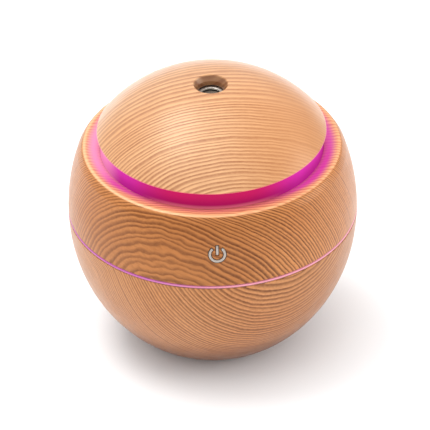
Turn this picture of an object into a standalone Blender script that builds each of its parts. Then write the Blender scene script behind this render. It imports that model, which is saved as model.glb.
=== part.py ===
"""Ball-shaped ultrasonic oil diffuser with a wood finish: a water tank and a lift-off head.

Frame: +Z up, the origin under the ball's centre on the surface it stands on, the touch key at -Y
and the USB inlet at +Y. Sizes below are in millimetres and the meshes are in metres.
The tank stays put. The head lifts off it, turns in its seal to lock, and carries the wick holder,
which turns out of its socket and holds a sprung wick against the underside of the atomizer disc.
"""

from math import asin, atan2, cos, degrees, pi, radians, sin, sqrt

import bmesh
import bpy
from mathutils import Matrix, Vector

MM = 0.001

# The ball
BALL_RADIUS = 50.0
EQUATOR = 51.0  # height of the widest circle above the table
LOWER_DEPTH = 56.2  # semi-axis of the lower shell's ellipse, deeper than the ball is round
UPPER_DEPTH = 58.7  # semi-axis of the upper shell's side
SHELL_SIDES = 40
SMALL_SIDES = 20
FIT_SIDES = 24  # for the round pieces of the atomizer and the wick holder
SCREW_SIDES = 12
GAP = 0.3  # kept between pieces that touch

# Lower shell, which is the tank
TANK_WALL = 2.4
TANK_RIM = 50.2
TANK_BASE = 0.4
TANK_FLOOR = 3.0
BASE_ROUND, BASE_INSET = 0.5, 0.7  # the chamfer where the bowl meets its base
BORE_RADIUS = 46.5
BORE_BOTTOM = 38.4
FOOT_INNER, FOOT_OUTER, FOOT_HEIGHT = 13.8, 19.2, 1.3

# Twist lock between tank and head: ribs on the tank, lugs on the head's skirt
LOCK_ANGLES = (0, 120, 240)
LUG_WIDTH = 40
RIB_WIDTH = 70
RIB_BOTTOM, RIB_TOP, RIB_INNER = 44.2, 45.9, 44.6
LUG_BOTTOM, LUG_TOP, LUG_OUTER = 41.9, 43.8, 46.0

# Upper shell
SEAM_BOTTOM, SEAM_TOP = 50.5, 51.2
SEAM_INNER, SEAM_SLEEVE, SEAM_SLEEVE_TOP = 46.6, 47.4, 52.9
SEAM_SETBACK = 0.05
UPPER_RIM = 51.5
SIDE_TOP = 74.6
EDGE_RADIUS, EDGE_HEIGHT = 44.0, 76.05
EDGE_ROUND = ((45.6, 75.3), (44.95, 75.85))  # points round the edge, from the side to the top ring
RING_INNER, RING_HEIGHT = 38.5, 75.5
RING_THICKNESS = 2.2
SHELL_WALL = 2.2

# Dome cover
DOME_RADIUS = 50.3
DOME_CENTRE = 50.9
DOME_WALL = 2.1
DOME_RIM = 81.85
RIM_EDGE, RIM_INSET, RIM_ROUND, RIM_INNER = 39.55, 39.3, 0.25, 37.0
CLAMP_INNER, CLAMP_OUTER, COLLAR_OUTER = 8.3, 9.8, 6.4  # the wall and the collar on the atomizer
LIP_RADIUS, LIP_ROUND = 6.0, 1.4  # the mist hole's rounded lip
COLLAR_BOTTOM = 97.3
SPIGOT_INNER, SPIGOT_OUTER, SPIGOT_BOTTOM = 33.6, 35.6, 78.2

# Light ring under the dome's edge
LIGHT_RADIUS, LIGHT_WALL = 38.2, 2.0
LIGHT_BOTTOM, LIGHT_TOP = 71.6, 81.5
LIGHT_FLANGE, LIGHT_FLANGE_TOP = 42.5, 73.0

# Head base
PLATE_TOP, PLATE_BOTTOM, PLATE_RADIUS = 53.0, 51.2, 46.2
SKIRT_OUTER, SKIRT_INNER, SKIRT_BOTTOM = 44.2, 42.4, 41.6
SEAL_LEDGE = 49.5
SEAL_BEAD = ((44.2, 47.0), (45.7, 46.9), (45.7, 46.6), (44.2, 46.2))  # holds the seal up
SEAL_RADIUS, SEAL_ROUND, SEAL_HEIGHT = 45.42, 0.87, 48.2
SOCKET_INNER, SOCKET_OUTER, SOCKET_BOTTOM = 10.4, 12.0, 44.0
GASKET_LAND = 49.1
SHAFT_RADIUS = 6.6  # the wick's passage through the plate and the tower

# Main board and what stands on it
BOARD_BOTTOM, BOARD_THICKNESS, BOARD_RADIUS, BOARD_HOLE = 58.0, 1.6, 34.0, 12.0
BOARD_TOP = BOARD_BOTTOM + BOARD_THICKNESS
TAB_WIDTH, TAB_END = 14.0, 45.0
POST_ANGLES = (60, 180, 300)
POST_RADIUS, POST_CIRCLE = 2.8, 31.0
POST_HOLE_BOTTOM = 54.2
LED_ANGLES = (30, 90, 150, 210, 270, 330)
LED_CIRCLE, LED_SIDE, LED_HEIGHT = 27.0, 5.0, 1.6
CHIP_SIZE, CHIP_AT = (6.0, 5.0, 1.6), (-18.0, 4.0)
INDUCTOR_RADIUS, INDUCTOR_HEIGHT, INDUCTOR_AT = 4.0, 5.2, (18.0, 3.0)
CAN_RADIUS, CAN_HEIGHT, CAN_AT = 3.2, 7.8, (10.0, -18.0)
TOUCH_BOARD_SIZE, TOUCH_BOARD_Y = (12.0, 1.0, 10.0), -33.0

# Screws: head radius, head height, shank radius, shank length
BASE_SCREW = (2.4, 1.3, 1.2, 10.0)
BOARD_SCREW = (2.2, 1.3, 1.0, 5.2)
BASE_SCREW_CIRCLE = 39.0
BOSS_RADIUS, BOSS_BOTTOM, BOSS_TOP = 3.0, 53.4, 63.0
WEB_START, WEB_END, WEB_WIDTH = 40.0, 48.2, 2.0
BOSS_HOLE_TOP = 62.4

# Atomizer on its tower
TOWER_WALL, TOWER_FOOT, TOWER_FOOT_HEIGHT = 1.8, 10.6, 1.5
CUP_FLOOR, CUP_INNER, CUP_OUTER, CUP_TOP = 93.9, 10.2, 11.4, 96.8
CUP_WALL = 1.7
GUIDE_RADIUS = 4.6
PIEZO_BOTTOM, PIEZO_OUTER = 94.9, 7.2
GROMMET_INNER, GROMMET_OUTER = 7.6, 9.9
NOTCH_SIZE, NOTCH_Y, NOTCH_DROP = (5.6, 3.0, 3.2), 11.2, 0.8
DISC_BOTTOM, DISC_TOP, DISC_RADIUS = 95.8, 96.1, 8.7
TRIM_INNER, TRIM_OUTER, TRIM_BOTTOM, TRIM_TOP = 3.3, 7.3, 96.4, 97.0

# Wick and its holder
WICK_RADIUS, WICK_BOTTOM, WICK_TOP = 4.0, 20.1, 95.5
HOLDER_INNER, HOLDER_OUTER, HOLDER_BOTTOM, HOLDER_TOP = 4.6, 5.7, 5.5, 50.4
HOLDER_FLOOR = 7.5
FLANGE_RADIUS, FLANGE_BOTTOM, FLANGE_TOP = 8.9, 45.7, 47.2
EAR_WIDTH, EAR_OUTER = 40, 10.1
LEDGE_WIDTH, LEDGE_INNER, LEDGE_BOTTOM, LEDGE_TOP = 60, 9.2, 44.4, 45.4
SLOT_WIDTH, SLOT_BOTTOM, SLOT_TOP = 3.0, 12.0, 40.0
SPRING_BOTTOM, SPRING_LENGTH, SPRING_RADIUS, SPRING_WIRE, SPRING_TURNS = 7.8, 12.0, 3.1, 0.7, 6
GASKET_OUTER = 9.8

# Touch key and USB inlet
KEY_AZIMUTH, KEY_HEIGHT = 1.5, 63.7
KEY_RADIUS, KEY_STROKE, KEY_THICKNESS, KEY_OPENING = 3.05, 1.0, 0.6, 74
KEY_BAR_TOP, KEY_BAR_BOTTOM = 3.3, -0.2
KEY_POCKET_GAP = 0.2
TOUCH_SPRING_RADIUS, TOUCH_SPRING_WIRE, TOUCH_SPRING_TURNS = 3.0, 0.6, 5
TOUCH_SPRING_LENGTH, TOUCH_SPRING_RISE = 11.6, 0.4
USB_HEIGHT, USB_FACE = 61.25, 46.4
USB_SIZE = (7.6, 5.2, 2.8)
USB_POCKET = (6.8, 4.4, 1.8)
INLET_SIZE = (11.4, 7.4)
INLET_ROUND = 1.8
INLET_REACH = 8.0  # the inlet hole's cutter, long enough to pass the wall
USB_POCKET_DEPTH = 3.2


def clear_scene():
    for obj in list(bpy.data.objects):
        bpy.data.objects.remove(obj)


def material(name, colour, roughness, metallic=0.0):
    """A Principled material with one colour."""
    mat = bpy.data.materials.new(name)
    mat.use_nodes = True
    shader = mat.node_tree.nodes["Principled BSDF"]
    shader.inputs["Base Color"].default_value = (*colour, 1.0)
    shader.inputs["Roughness"].default_value = roughness
    shader.inputs["Metallic"].default_value = metallic
    return mat


def group(name, parent=None):
    """An empty on the ball's axis, which a moving assembly hangs from."""
    empty = bpy.data.objects.new(name, None)
    bpy.context.scene.collection.objects.link(empty)
    empty.parent = parent
    return empty


def mesh_object(name, bm, mat, parent, smooth=True):
    """Turns a bmesh in millimetres into a named object in metres."""
    bmesh.ops.remove_doubles(bm, verts=bm.verts, dist=0.0005)
    bmesh.ops.recalc_face_normals(bm, faces=bm.faces)
    bmesh.ops.scale(bm, vec=(MM, MM, MM), verts=bm.verts)
    mesh = bpy.data.meshes.new(name)
    bm.to_mesh(mesh)
    bm.free()
    if smooth:
        mesh.shade_smooth()
        mesh.set_sharp_from_angle(angle=radians(30))
    mesh.materials.append(mat)
    obj = bpy.data.objects.new(name, mesh)
    bpy.context.scene.collection.objects.link(obj)
    obj.parent = parent
    return obj


def place(obj, x, y, z, turn=0.0):
    """Moves an object to a place in millimetres and turns it about Z by degrees."""
    obj.location = (x * MM, y * MM, z * MM)
    obj.rotation_euler.z = radians(turn)
    return obj


def add_turned(bm, outline, sides):
    """Spins a closed outline of (radius, height) points about Z. An outline may start and end on Z."""
    points = [bm.verts.new((r, 0, z)) for r, z in outline]
    edges = [bm.edges.new(pair) for pair in zip(points, points[1:])]
    if outline[0][0] > 0:
        edges.append(bm.edges.new((points[-1], points[0])))
    bmesh.ops.spin(
        bm, geom=points + edges, cent=(0, 0, 0), axis=(0, 0, 1), angle=2 * pi, steps=sides
    )
    bmesh.ops.remove_doubles(bm, verts=bm.verts, dist=0.0005)


def turned(name, outline, mat, parent, sides=SMALL_SIDES):
    bm = bmesh.new()
    add_turned(bm, outline, sides)
    return mesh_object(name, bm, mat, parent)


def add_arc_block(bm, inner, outer, bottom, top, middle, width, steps=6):
    """Adds a block that follows a circle: its radii, heights, middle angle and width in degrees."""
    corners = [(inner, 0, bottom), (outer, 0, bottom), (outer, 0, top), (inner, 0, top)]
    face = bm.faces.new([bm.verts.new(corner) for corner in corners])
    turn = Matrix.Rotation(radians(middle - width / 2), 3, "Z")
    bmesh.ops.rotate(bm, cent=(0, 0, 0), matrix=turn, verts=face.verts)
    start = face.copy()
    start.normal_flip()
    bmesh.ops.spin(
        bm, geom=[face], cent=(0, 0, 0), axis=(0, 0, 1), angle=radians(width), steps=steps
    )


def add_box(bm, size, centre, turn=0.0):
    """Adds a box of the given size about a centre, turned about Z by degrees."""
    turned_centre = Matrix.Rotation(radians(turn), 4, "Z") @ Matrix.Translation(centre)
    bmesh.ops.create_cube(bm, size=1, matrix=turned_centre @ Matrix.Diagonal((*size, 1)))


def add_post(bm, radius, bottom, top, circle, angle):
    """Adds an upright cylinder on a circle about Z, at an angle in degrees."""
    turn = Matrix.Rotation(radians(angle), 4, "Z")
    bmesh.ops.create_cone(
        bm, cap_ends=True, segments=SCREW_SIDES, radius1=radius, radius2=radius,
        depth=top - bottom, matrix=turn @ Matrix.Translation((circle, 0, (bottom + top) / 2)),
    )


def block(name, size, mat, parent, bevel=0.0):
    """A box about its own origin, with bevelled edges if asked."""
    bm = bmesh.new()
    add_box(bm, size, (0, 0, 0))
    if bevel:
        bmesh.ops.bevel(bm, geom=bm.edges, offset=bevel, segments=1, affect="EDGES")
    return mesh_object(name, bm, mat, parent, smooth=False)


def hidden(obj):
    """Marks a tool object that only shapes others."""
    obj.hide_render = True
    obj.display_type = "WIRE"
    return obj


def boolean(obj, tool, operation):
    modifier = obj.modifiers.new(operation.lower(), "BOOLEAN")
    modifier.operation = operation
    modifier.solver = "EXACT"
    modifier.object = hidden(tool)


def arc(centre, radius, start, end, steps):
    """Points on a circle in the outline's plane, from one angle to another in degrees."""
    angles = [radians(start + (end - start) * i / steps) for i in range(steps + 1)]
    return [(centre[0] + radius * cos(a), centre[1] + radius * sin(a)) for a in angles]


def side(radius, depth, bottom, top, steps):
    """Points up an ellipse about the equator, between two heights."""
    low, high = asin((bottom - EQUATOR) / depth), asin((top - EQUATOR) / depth)
    angles = [low + (high - low) * i / steps for i in range(steps + 1)]
    return [(radius * cos(a), EQUATOR + depth * sin(a)) for a in angles]


def dome_height(radius, depth=0.0):
    """Height of the dome's outer face at a radius, or of a face that lies deeper."""
    return DOME_CENTRE + sqrt((DOME_RADIUS - depth) ** 2 - radius**2)


def cap(inner_radius, outer_radius, depth, steps):
    """Points along the dome from one radius to another."""
    sphere = DOME_RADIUS - depth
    rises = [dome_height(r, depth) - DOME_CENTRE for r in (inner_radius, outer_radius)]
    start, end = degrees(atan2(rises[0], inner_radius)), degrees(atan2(rises[1], outer_radius))
    return arc((0, DOME_CENTRE), sphere, start, end, steps)


def make_lower_shell(mat, parent):
    """The tank: a bowl with a straight bore at its mouth, a groove for the foot, and three ribs."""
    outer = side(BALL_RADIUS, LOWER_DEPTH, TANK_BASE + BASE_ROUND, TANK_RIM, 9)
    inner_depth = LOWER_DEPTH - TANK_WALL
    inner = side(BALL_RADIUS - TANK_WALL, inner_depth, TANK_FLOOR, BORE_BOTTOM - 1, 5)
    groove_in, groove_out = FOOT_INNER - GAP, FOOT_OUTER + GAP
    groove_top = FOOT_HEIGHT + GAP
    outline = [
        (0, TANK_BASE),
        (groove_in, TANK_BASE),
        (groove_in, groove_top),
        (groove_out, groove_top),
        (groove_out, TANK_BASE),
        (outer[0][0] - BASE_INSET, TANK_BASE),
        *outer,
        (BORE_RADIUS, TANK_RIM),
        (BORE_RADIUS, BORE_BOTTOM),
        *reversed(inner),
        (0, TANK_FLOOR),
    ]
    shell = turned("lower_shell", outline, mat, parent, SHELL_SIDES)
    ribs = bmesh.new()
    between = 180 / len(LOCK_ANGLES)
    for angle in LOCK_ANGLES:
        middle = angle + between
        add_arc_block(ribs, RIB_INNER, BORE_RADIUS + 1, RIB_BOTTOM, RIB_TOP, middle, RIB_WIDTH)
    boolean(shell, mesh_object("rib_tool", ribs, mat, parent), "UNION")


def make_tank_seal(mat, parent):
    ring = arc((SEAL_RADIUS, SEAL_HEIGHT), SEAL_ROUND, 0, 360, 8)[:-1]
    turned("tank_seal", ring, mat, parent, SHELL_SIDES)


def make_foot(mat, parent):
    outline = [
        (FOOT_INNER, 0),
        (FOOT_OUTER, 0),
        (FOOT_OUTER, FOOT_HEIGHT),
        (FOOT_INNER, FOOT_HEIGHT),
    ]
    turned("foot_ring", outline, mat, parent, SHELL_SIDES)


def make_upper_shell(mat, parent):
    """The head's side wall and top ring, with screw bosses, the inlet hole and the key's pockets."""
    outer = side(BALL_RADIUS, UPPER_DEPTH, UPPER_RIM, SIDE_TOP, 6)
    ring_bottom = RING_HEIGHT - RING_THICKNESS
    inner_radius = BALL_RADIUS - SHELL_WALL
    inner = side(inner_radius, UPPER_DEPTH - SHELL_WALL, UPPER_RIM, ring_bottom - 1.3, 5)
    outline = [
        *outer,
        *EDGE_ROUND,
        (EDGE_RADIUS, EDGE_HEIGHT),
        (RING_INNER, RING_HEIGHT),
        (RING_INNER, ring_bottom),
        (EDGE_RADIUS - 1, ring_bottom + 0.3),
        *reversed(inner),
    ]
    shell = turned("upper_shell", outline, mat, parent, SHELL_SIDES)
    make_bosses(shell, mat, parent)
    inlet = bmesh.new()
    width, height = INLET_SIZE
    add_box(inlet, (width, INLET_REACH, height), (0, USB_FACE + 2, USB_HEIGHT))
    along = [e for e in inlet.edges if abs(e.verts[0].co.y - e.verts[1].co.y) > 1]
    bmesh.ops.bevel(inlet, geom=along, offset=INLET_ROUND, segments=3, profile=0.5, affect="EDGES")
    boolean(shell, mesh_object("inlet_tool", inlet, mat, parent), "DIFFERENCE")
    pockets = key_ring("key_ring_tool", KEY_POCKET_GAP, mat, parent)
    boolean(shell, pockets, "DIFFERENCE")
    boolean(shell, key_bar("key_bar_tool", KEY_POCKET_GAP, mat, parent), "DIFFERENCE")


def make_bosses(shell, mat, parent):
    """Screw bosses inside the upper shell, each on a web that reaches the wall."""
    bosses, holes = bmesh.new(), bmesh.new()
    middle = (BOSS_BOTTOM + BOSS_TOP) / 2
    height = BOSS_TOP - BOSS_BOTTOM
    for angle in LOCK_ANGLES:
        add_post(bosses, BOSS_RADIUS, BOSS_BOTTOM, BOSS_TOP, BASE_SCREW_CIRCLE, angle)
        hole_radius, hole_bottom = BASE_SCREW[2] + GAP, BOSS_BOTTOM - 3
        add_post(holes, hole_radius, hole_bottom, BOSS_HOLE_TOP, BASE_SCREW_CIRCLE, angle)
    webs = bmesh.new()
    for angle in LOCK_ANGLES:
        size = (WEB_END - WEB_START, WEB_WIDTH, height - 1)
        add_box(webs, size, ((WEB_START + WEB_END) / 2, 0, middle), angle)
    boolean(shell, mesh_object("web_tool", webs, mat, parent), "UNION")
    boolean(shell, mesh_object("boss_tool", bosses, mat, parent), "UNION")
    boolean(shell, mesh_object("boss_hole_tool", holes, mat, parent), "DIFFERENCE")


def key_frame():
    """The key's frame on the shell: X to the right, Y up the slope and Z outward."""
    radius = BALL_RADIUS * sqrt(1 - ((KEY_HEIGHT - EQUATOR) / UPPER_DEPTH) ** 2)
    slope = atan2((KEY_HEIGHT - EQUATOR) / UPPER_DEPTH**2, radius / BALL_RADIUS**2)
    turn = Matrix.Rotation(radians(KEY_AZIMUTH), 4, "Z")
    tilt = Matrix.Rotation(pi / 2 - slope, 4, "X")
    return turn @ Matrix.Translation((0, -radius, KEY_HEIGHT)) @ tilt


def key_ring(name, margin, mat, parent):
    """The symbol's open circle, or its pocket when a margin is given."""
    bm = bmesh.new()
    inner, outer = KEY_RADIUS - KEY_STROKE - margin, KEY_RADIUS + margin
    opening = KEY_OPENING - degrees(2 * margin / KEY_RADIUS)
    bottom, top = key_span(margin)
    add_arc_block(bm, inner, outer, bottom, top, -90, 360 - opening, 24)
    bmesh.ops.transform(bm, matrix=key_frame(), verts=bm.verts)
    return mesh_object(name, bm, mat, parent)


def key_bar(name, margin, mat, parent):
    """The symbol's bar, or its pocket when a margin is given."""
    bm = bmesh.new()
    bottom, top = key_span(margin)
    length = KEY_BAR_TOP - KEY_BAR_BOTTOM + 2 * margin
    size = (KEY_STROKE + 2 * margin, length, top - bottom)
    add_box(bm, size, (0, (KEY_BAR_TOP + KEY_BAR_BOTTOM) / 2, (top + bottom) / 2))
    bmesh.ops.transform(bm, matrix=key_frame(), verts=bm.verts)
    return mesh_object(name, bm, mat, parent, smooth=False)


def key_span(margin):
    """How deep the inlay or its pocket reaches below the shell's face, and how far it stands out."""
    if margin:
        return -KEY_THICKNESS - GAP, 1.0
    return -KEY_THICKNESS, 0.0


def make_seam_ring(mat, parent):
    outline = [
        (SEAM_INNER, SEAM_BOTTOM),
        (BALL_RADIUS - SEAM_SETBACK, SEAM_BOTTOM),
        (BALL_RADIUS - SEAM_SETBACK, SEAM_TOP),
        (SEAM_SLEEVE, SEAM_TOP),
        (SEAM_SLEEVE, SEAM_SLEEVE_TOP),
        (SEAM_INNER, SEAM_SLEEVE_TOP),
    ]
    turned("seam_light_ring", outline, mat, parent, SHELL_SIDES)


def make_light_ring(mat, parent):
    inner = LIGHT_RADIUS - LIGHT_WALL
    outline = [
        (inner, LIGHT_BOTTOM),
        (LIGHT_FLANGE, LIGHT_BOTTOM),
        (LIGHT_FLANGE, LIGHT_FLANGE_TOP),
        (LIGHT_RADIUS, LIGHT_FLANGE_TOP),
        (LIGHT_RADIUS, LIGHT_TOP),
        (inner, LIGHT_TOP),
    ]
    turned("light_ring", outline, mat, parent, SHELL_SIDES)


def make_dome(mat, parent):
    """The dome, with the mist hole's lip and throat and two walls under it that clamp the atomizer."""
    throat = LIP_RADIUS - LIP_ROUND
    lip_middle = dome_height(LIP_RADIUS) - LIP_ROUND
    outline = [
        (SPIGOT_OUTER, dome_height(SPIGOT_OUTER, DOME_WALL)),
        (SPIGOT_OUTER, SPIGOT_BOTTOM),
        (SPIGOT_INNER, SPIGOT_BOTTOM),
        *reversed(cap(CLAMP_OUTER, SPIGOT_INNER, DOME_WALL, 4)),
        (CLAMP_OUTER, COLLAR_BOTTOM),
        (CLAMP_INNER, COLLAR_BOTTOM),
        (CLAMP_INNER, dome_height(CLAMP_INNER, DOME_WALL)),
        (COLLAR_OUTER, dome_height(COLLAR_OUTER, DOME_WALL)),
        (COLLAR_OUTER, COLLAR_BOTTOM),
        (throat - 0.2, COLLAR_BOTTOM),
        *reversed(arc((LIP_RADIUS, lip_middle), LIP_ROUND, 97, 180, 3)),
        *cap(LIP_RADIUS + 1, RIM_INSET - GAP, 0, 7),
        (RIM_EDGE, DOME_RIM + RIM_ROUND),
        (RIM_INSET, DOME_RIM),
        (RIM_INNER, DOME_RIM),
    ]
    turned("dome_cover", outline, mat, parent, SHELL_SIDES)


def make_head_base(mat, parent):
    """The plate under the head, its skirt with three lugs, the holder's socket and the board's posts."""
    outline = [
        (SHAFT_RADIUS, PLATE_TOP),
        (PLATE_RADIUS, PLATE_TOP),
        (PLATE_RADIUS, SEAL_LEDGE),
        (SKIRT_OUTER, SEAL_LEDGE),
        *SEAL_BEAD,
        (SKIRT_OUTER, SKIRT_BOTTOM),
        (SKIRT_INNER, SKIRT_BOTTOM),
        (SKIRT_INNER, PLATE_BOTTOM),
        (SOCKET_OUTER, PLATE_BOTTOM),
        (SOCKET_OUTER, SOCKET_BOTTOM),
        (SOCKET_INNER, SOCKET_BOTTOM),
        (SOCKET_INNER, GASKET_LAND),
        (SHAFT_RADIUS, GASKET_LAND),
    ]
    base = turned("head_base", outline, mat, parent, SHELL_SIDES)
    added = bmesh.new()
    for angle in LOCK_ANGLES:
        add_arc_block(added, SKIRT_OUTER - 0.9, LUG_OUTER, LUG_BOTTOM, LUG_TOP, angle, LUG_WIDTH, 4)
    for angle in (0, 180):
        wall_middle = (SOCKET_INNER + SOCKET_OUTER) / 2
        add_arc_block(added, LEDGE_INNER, wall_middle, LEDGE_BOTTOM, LEDGE_TOP, angle, LEDGE_WIDTH, 5)
    post_top = BOARD_BOTTOM - GAP
    holes = bmesh.new()
    for angle in POST_ANGLES:
        add_post(added, POST_RADIUS, PLATE_TOP - 1, post_top, POST_CIRCLE, angle)
        hole_radius = BOARD_SCREW[2] + GAP
        add_post(holes, hole_radius, POST_HOLE_BOTTOM, BOARD_TOP, POST_CIRCLE, angle)
    for angle in LOCK_ANGLES:
        hole_radius = BASE_SCREW[2] + GAP
        add_post(holes, hole_radius, PLATE_BOTTOM - 1, PLATE_TOP + 1, BASE_SCREW_CIRCLE, angle)
    boolean(base, mesh_object("base_tool", added, mat, parent), "UNION")
    boolean(base, mesh_object("base_hole_tool", holes, mat, parent), "DIFFERENCE")


def make_tower(mat, parent):
    """The tube that carries the atomizer's cup above the wick, with a notch for the leads."""
    foot_bottom = PLATE_TOP + GAP
    wall = SHAFT_RADIUS + TOWER_WALL
    outline = [
        (SHAFT_RADIUS, foot_bottom),
        (TOWER_FOOT, foot_bottom),
        (TOWER_FOOT, foot_bottom + TOWER_FOOT_HEIGHT),
        (wall, foot_bottom + TOWER_FOOT_HEIGHT),
        (wall, CUP_FLOOR - 2 * CUP_WALL),
        (CUP_OUTER, CUP_FLOOR - CUP_WALL),
        (CUP_OUTER, CUP_TOP),
        (CUP_INNER, CUP_TOP),
        (CUP_INNER, CUP_FLOOR),
        (GUIDE_RADIUS, CUP_FLOOR),
        (GUIDE_RADIUS, CUP_FLOOR - CUP_WALL),
        (SHAFT_RADIUS, CUP_FLOOR - 2 * CUP_WALL - GAP),
    ]
    tower = turned("atomizer_tower", outline, mat, parent, FIT_SIDES)
    notch = bmesh.new()
    add_box(notch, NOTCH_SIZE, (0, NOTCH_Y, CUP_TOP - NOTCH_DROP))
    boolean(tower, mesh_object("notch_tool", notch, mat, parent), "DIFFERENCE")


def make_atomizer(mats, parent):
    """The meshed disc, the ceramic ring that shakes it, its grommet and the bright ring on top."""
    rise, mesh_radius = 0.2, 1.6
    disc = [
        (0, DISC_BOTTOM + rise),
        (mesh_radius, DISC_BOTTOM),
        (DISC_RADIUS, DISC_BOTTOM),
        (DISC_RADIUS, DISC_TOP),
        (mesh_radius, DISC_TOP),
        (0, DISC_TOP + rise),
    ]
    turned("atomizer_disc", disc, mats["steel"], parent, FIT_SIDES)
    piezo_top = DISC_BOTTOM - GAP
    ring = [
        (GUIDE_RADIUS, PIEZO_BOTTOM),
        (PIEZO_OUTER, PIEZO_BOTTOM),
        (PIEZO_OUTER, piezo_top),
        (GUIDE_RADIUS, piezo_top),
    ]
    turned("piezo_ring", ring, mats["ceramic"], parent, FIT_SIDES)
    bottom, top = CUP_FLOOR + GAP, COLLAR_BOTTOM - GAP
    groove_bottom, groove_top, groove = DISC_BOTTOM - GAP, DISC_TOP + GAP, DISC_RADIUS + GAP
    grommet = [
        (GROMMET_INNER, bottom),
        (GROMMET_OUTER, bottom),
        (GROMMET_OUTER, top),
        (GROMMET_INNER, top),
        (GROMMET_INNER, groove_top),
        (groove, groove_top),
        (groove, groove_bottom),
        (GROMMET_INNER, groove_bottom),
    ]
    turned("disc_grommet", grommet, mats["silicone"], parent, FIT_SIDES)
    trim = [
        (TRIM_INNER, TRIM_BOTTOM),
        (TRIM_OUTER, TRIM_BOTTOM),
        (TRIM_OUTER, TRIM_TOP),
        (TRIM_INNER + 0.2, TRIM_TOP),
        (TRIM_INNER, TRIM_TOP - 0.2),
    ]
    turned("disc_trim_ring", trim, mats["chrome"], parent, FIT_SIDES)


def make_lead(name, x, mat, parent):
    """A lead from the atomizer's notch down the tower to the main board."""
    curve = bpy.data.curves.new(name, "CURVE")
    curve.dimensions = "3D"
    curve.bevel_depth = 0.5 * MM
    curve.bevel_resolution = 1
    curve.resolution_u = 3
    curve.render_resolution_u = 0
    curve.use_fill_caps = True
    route = [(11.0, 96.0), (12.6, 94.4), (11.4, 90.0), (10.4, 80.0), (11.0, 68.0), (14.5, 60.5)]
    spline = curve.splines.new("BEZIER")
    spline.bezier_points.add(len(route) - 1)
    for point, (y, z) in zip(spline.bezier_points, route):
        point.co = (x * MM, y * MM, z * MM)
        point.handle_left_type = point.handle_right_type = "AUTO"
    curve.materials.append(mat)
    lead = bpy.data.objects.new(name, curve)
    bpy.context.scene.collection.objects.link(lead)
    lead.parent = parent


def make_coil(name, size, mat, parent):
    """A coil spring along its own Z, from its origin up: its radius, wire, turns and length."""
    radius, wire, turns, length = size
    curve = bpy.data.curves.new(name, "CURVE")
    curve.dimensions = "3D"
    curve.bevel_depth = wire / 2 * MM
    curve.bevel_resolution = 0
    curve.render_resolution_u = 0
    curve.use_fill_caps = True
    steps = 10
    count = turns * steps
    spline = curve.splines.new("POLY")
    spline.points.add(count)
    for i, point in enumerate(spline.points):
        angle = 2 * pi * i / steps
        height = wire / 2 + (length - wire) * i / count
        point.co = (radius * cos(angle) * MM, radius * sin(angle) * MM, height * MM, 1)
    curve.materials.append(mat)
    coil = bpy.data.objects.new(name, curve)
    bpy.context.scene.collection.objects.link(coil)
    coil.parent = parent
    return coil


def make_wick(mat, parent):
    chamfer = 0.5
    outline = [
        (0, WICK_BOTTOM),
        (WICK_RADIUS - chamfer, WICK_BOTTOM),
        (WICK_RADIUS, WICK_BOTTOM + chamfer),
        (WICK_RADIUS, WICK_TOP - chamfer),
        (WICK_RADIUS - chamfer, WICK_TOP),
        (0, WICK_TOP),
    ]
    turned("wick", outline, mat, parent, 16)


def make_wick_holder(mats, parent):
    """The slotted tube that hangs in the tank, with its flange, two ears, gasket and spring."""
    outline = [
        (0, HOLDER_BOTTOM),
        (HOLDER_OUTER - 0.6, HOLDER_BOTTOM),
        (HOLDER_OUTER, HOLDER_BOTTOM + 0.6),
        (HOLDER_OUTER, FLANGE_BOTTOM),
        (FLANGE_RADIUS, FLANGE_BOTTOM),
        (FLANGE_RADIUS, FLANGE_TOP),
        (HOLDER_OUTER, FLANGE_TOP),
        (HOLDER_OUTER, HOLDER_TOP),
        (HOLDER_INNER, HOLDER_TOP),
        (HOLDER_INNER, HOLDER_FLOOR),
        (0, HOLDER_FLOOR),
    ]
    holder = turned("wick_holder", outline, mats["white"], parent, FIT_SIDES)
    ears = bmesh.new()
    ear_bottom, ear_top = FLANGE_BOTTOM + 0.1, FLANGE_TOP - 0.1
    for angle in (0, 180):
        add_arc_block(ears, FLANGE_RADIUS - 1, EAR_OUTER, ear_bottom, ear_top, angle, EAR_WIDTH, 3)
    boolean(holder, mesh_object("ear_tool", ears, mats["white"], parent), "UNION")
    slots = bmesh.new()
    for angle in (45, 135, 225, 315):
        size = (4, SLOT_WIDTH, SLOT_TOP - SLOT_BOTTOM)
        add_box(slots, size, (HOLDER_OUTER, 0, (SLOT_TOP + SLOT_BOTTOM) / 2), angle)
    boolean(holder, mesh_object("slot_tool", slots, mats["white"], parent), "DIFFERENCE")
    gasket = [
        (HOLDER_OUTER + GAP, FLANGE_TOP + GAP),
        (GASKET_OUTER, FLANGE_TOP + GAP),
        (GASKET_OUTER, GASKET_LAND - GAP),
        (HOLDER_OUTER + GAP, GASKET_LAND - GAP),
    ]
    turned("holder_gasket", gasket, mats["silicone"], parent, FIT_SIDES)
    coil = (SPRING_RADIUS, SPRING_WIRE, SPRING_TURNS, SPRING_LENGTH)
    place(make_coil("wick_spring", coil, mats["steel"], parent), 0, 0, SPRING_BOTTOM)


def make_screw(name, size, mat, parent):
    """A pan-head screw, head down at its origin's height and shank up."""
    head_radius, head_height, shank_radius, shank_length = size
    outline = [
        (0, -head_height),
        (head_radius * 0.6, -head_height),
        (head_radius, -head_height * 0.4),
        (head_radius, 0),
        (shank_radius, 0),
        (shank_radius, shank_length - 0.8),
        (0, shank_length),
    ]
    return turned(name, outline, mat, parent, SCREW_SIDES)


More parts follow.
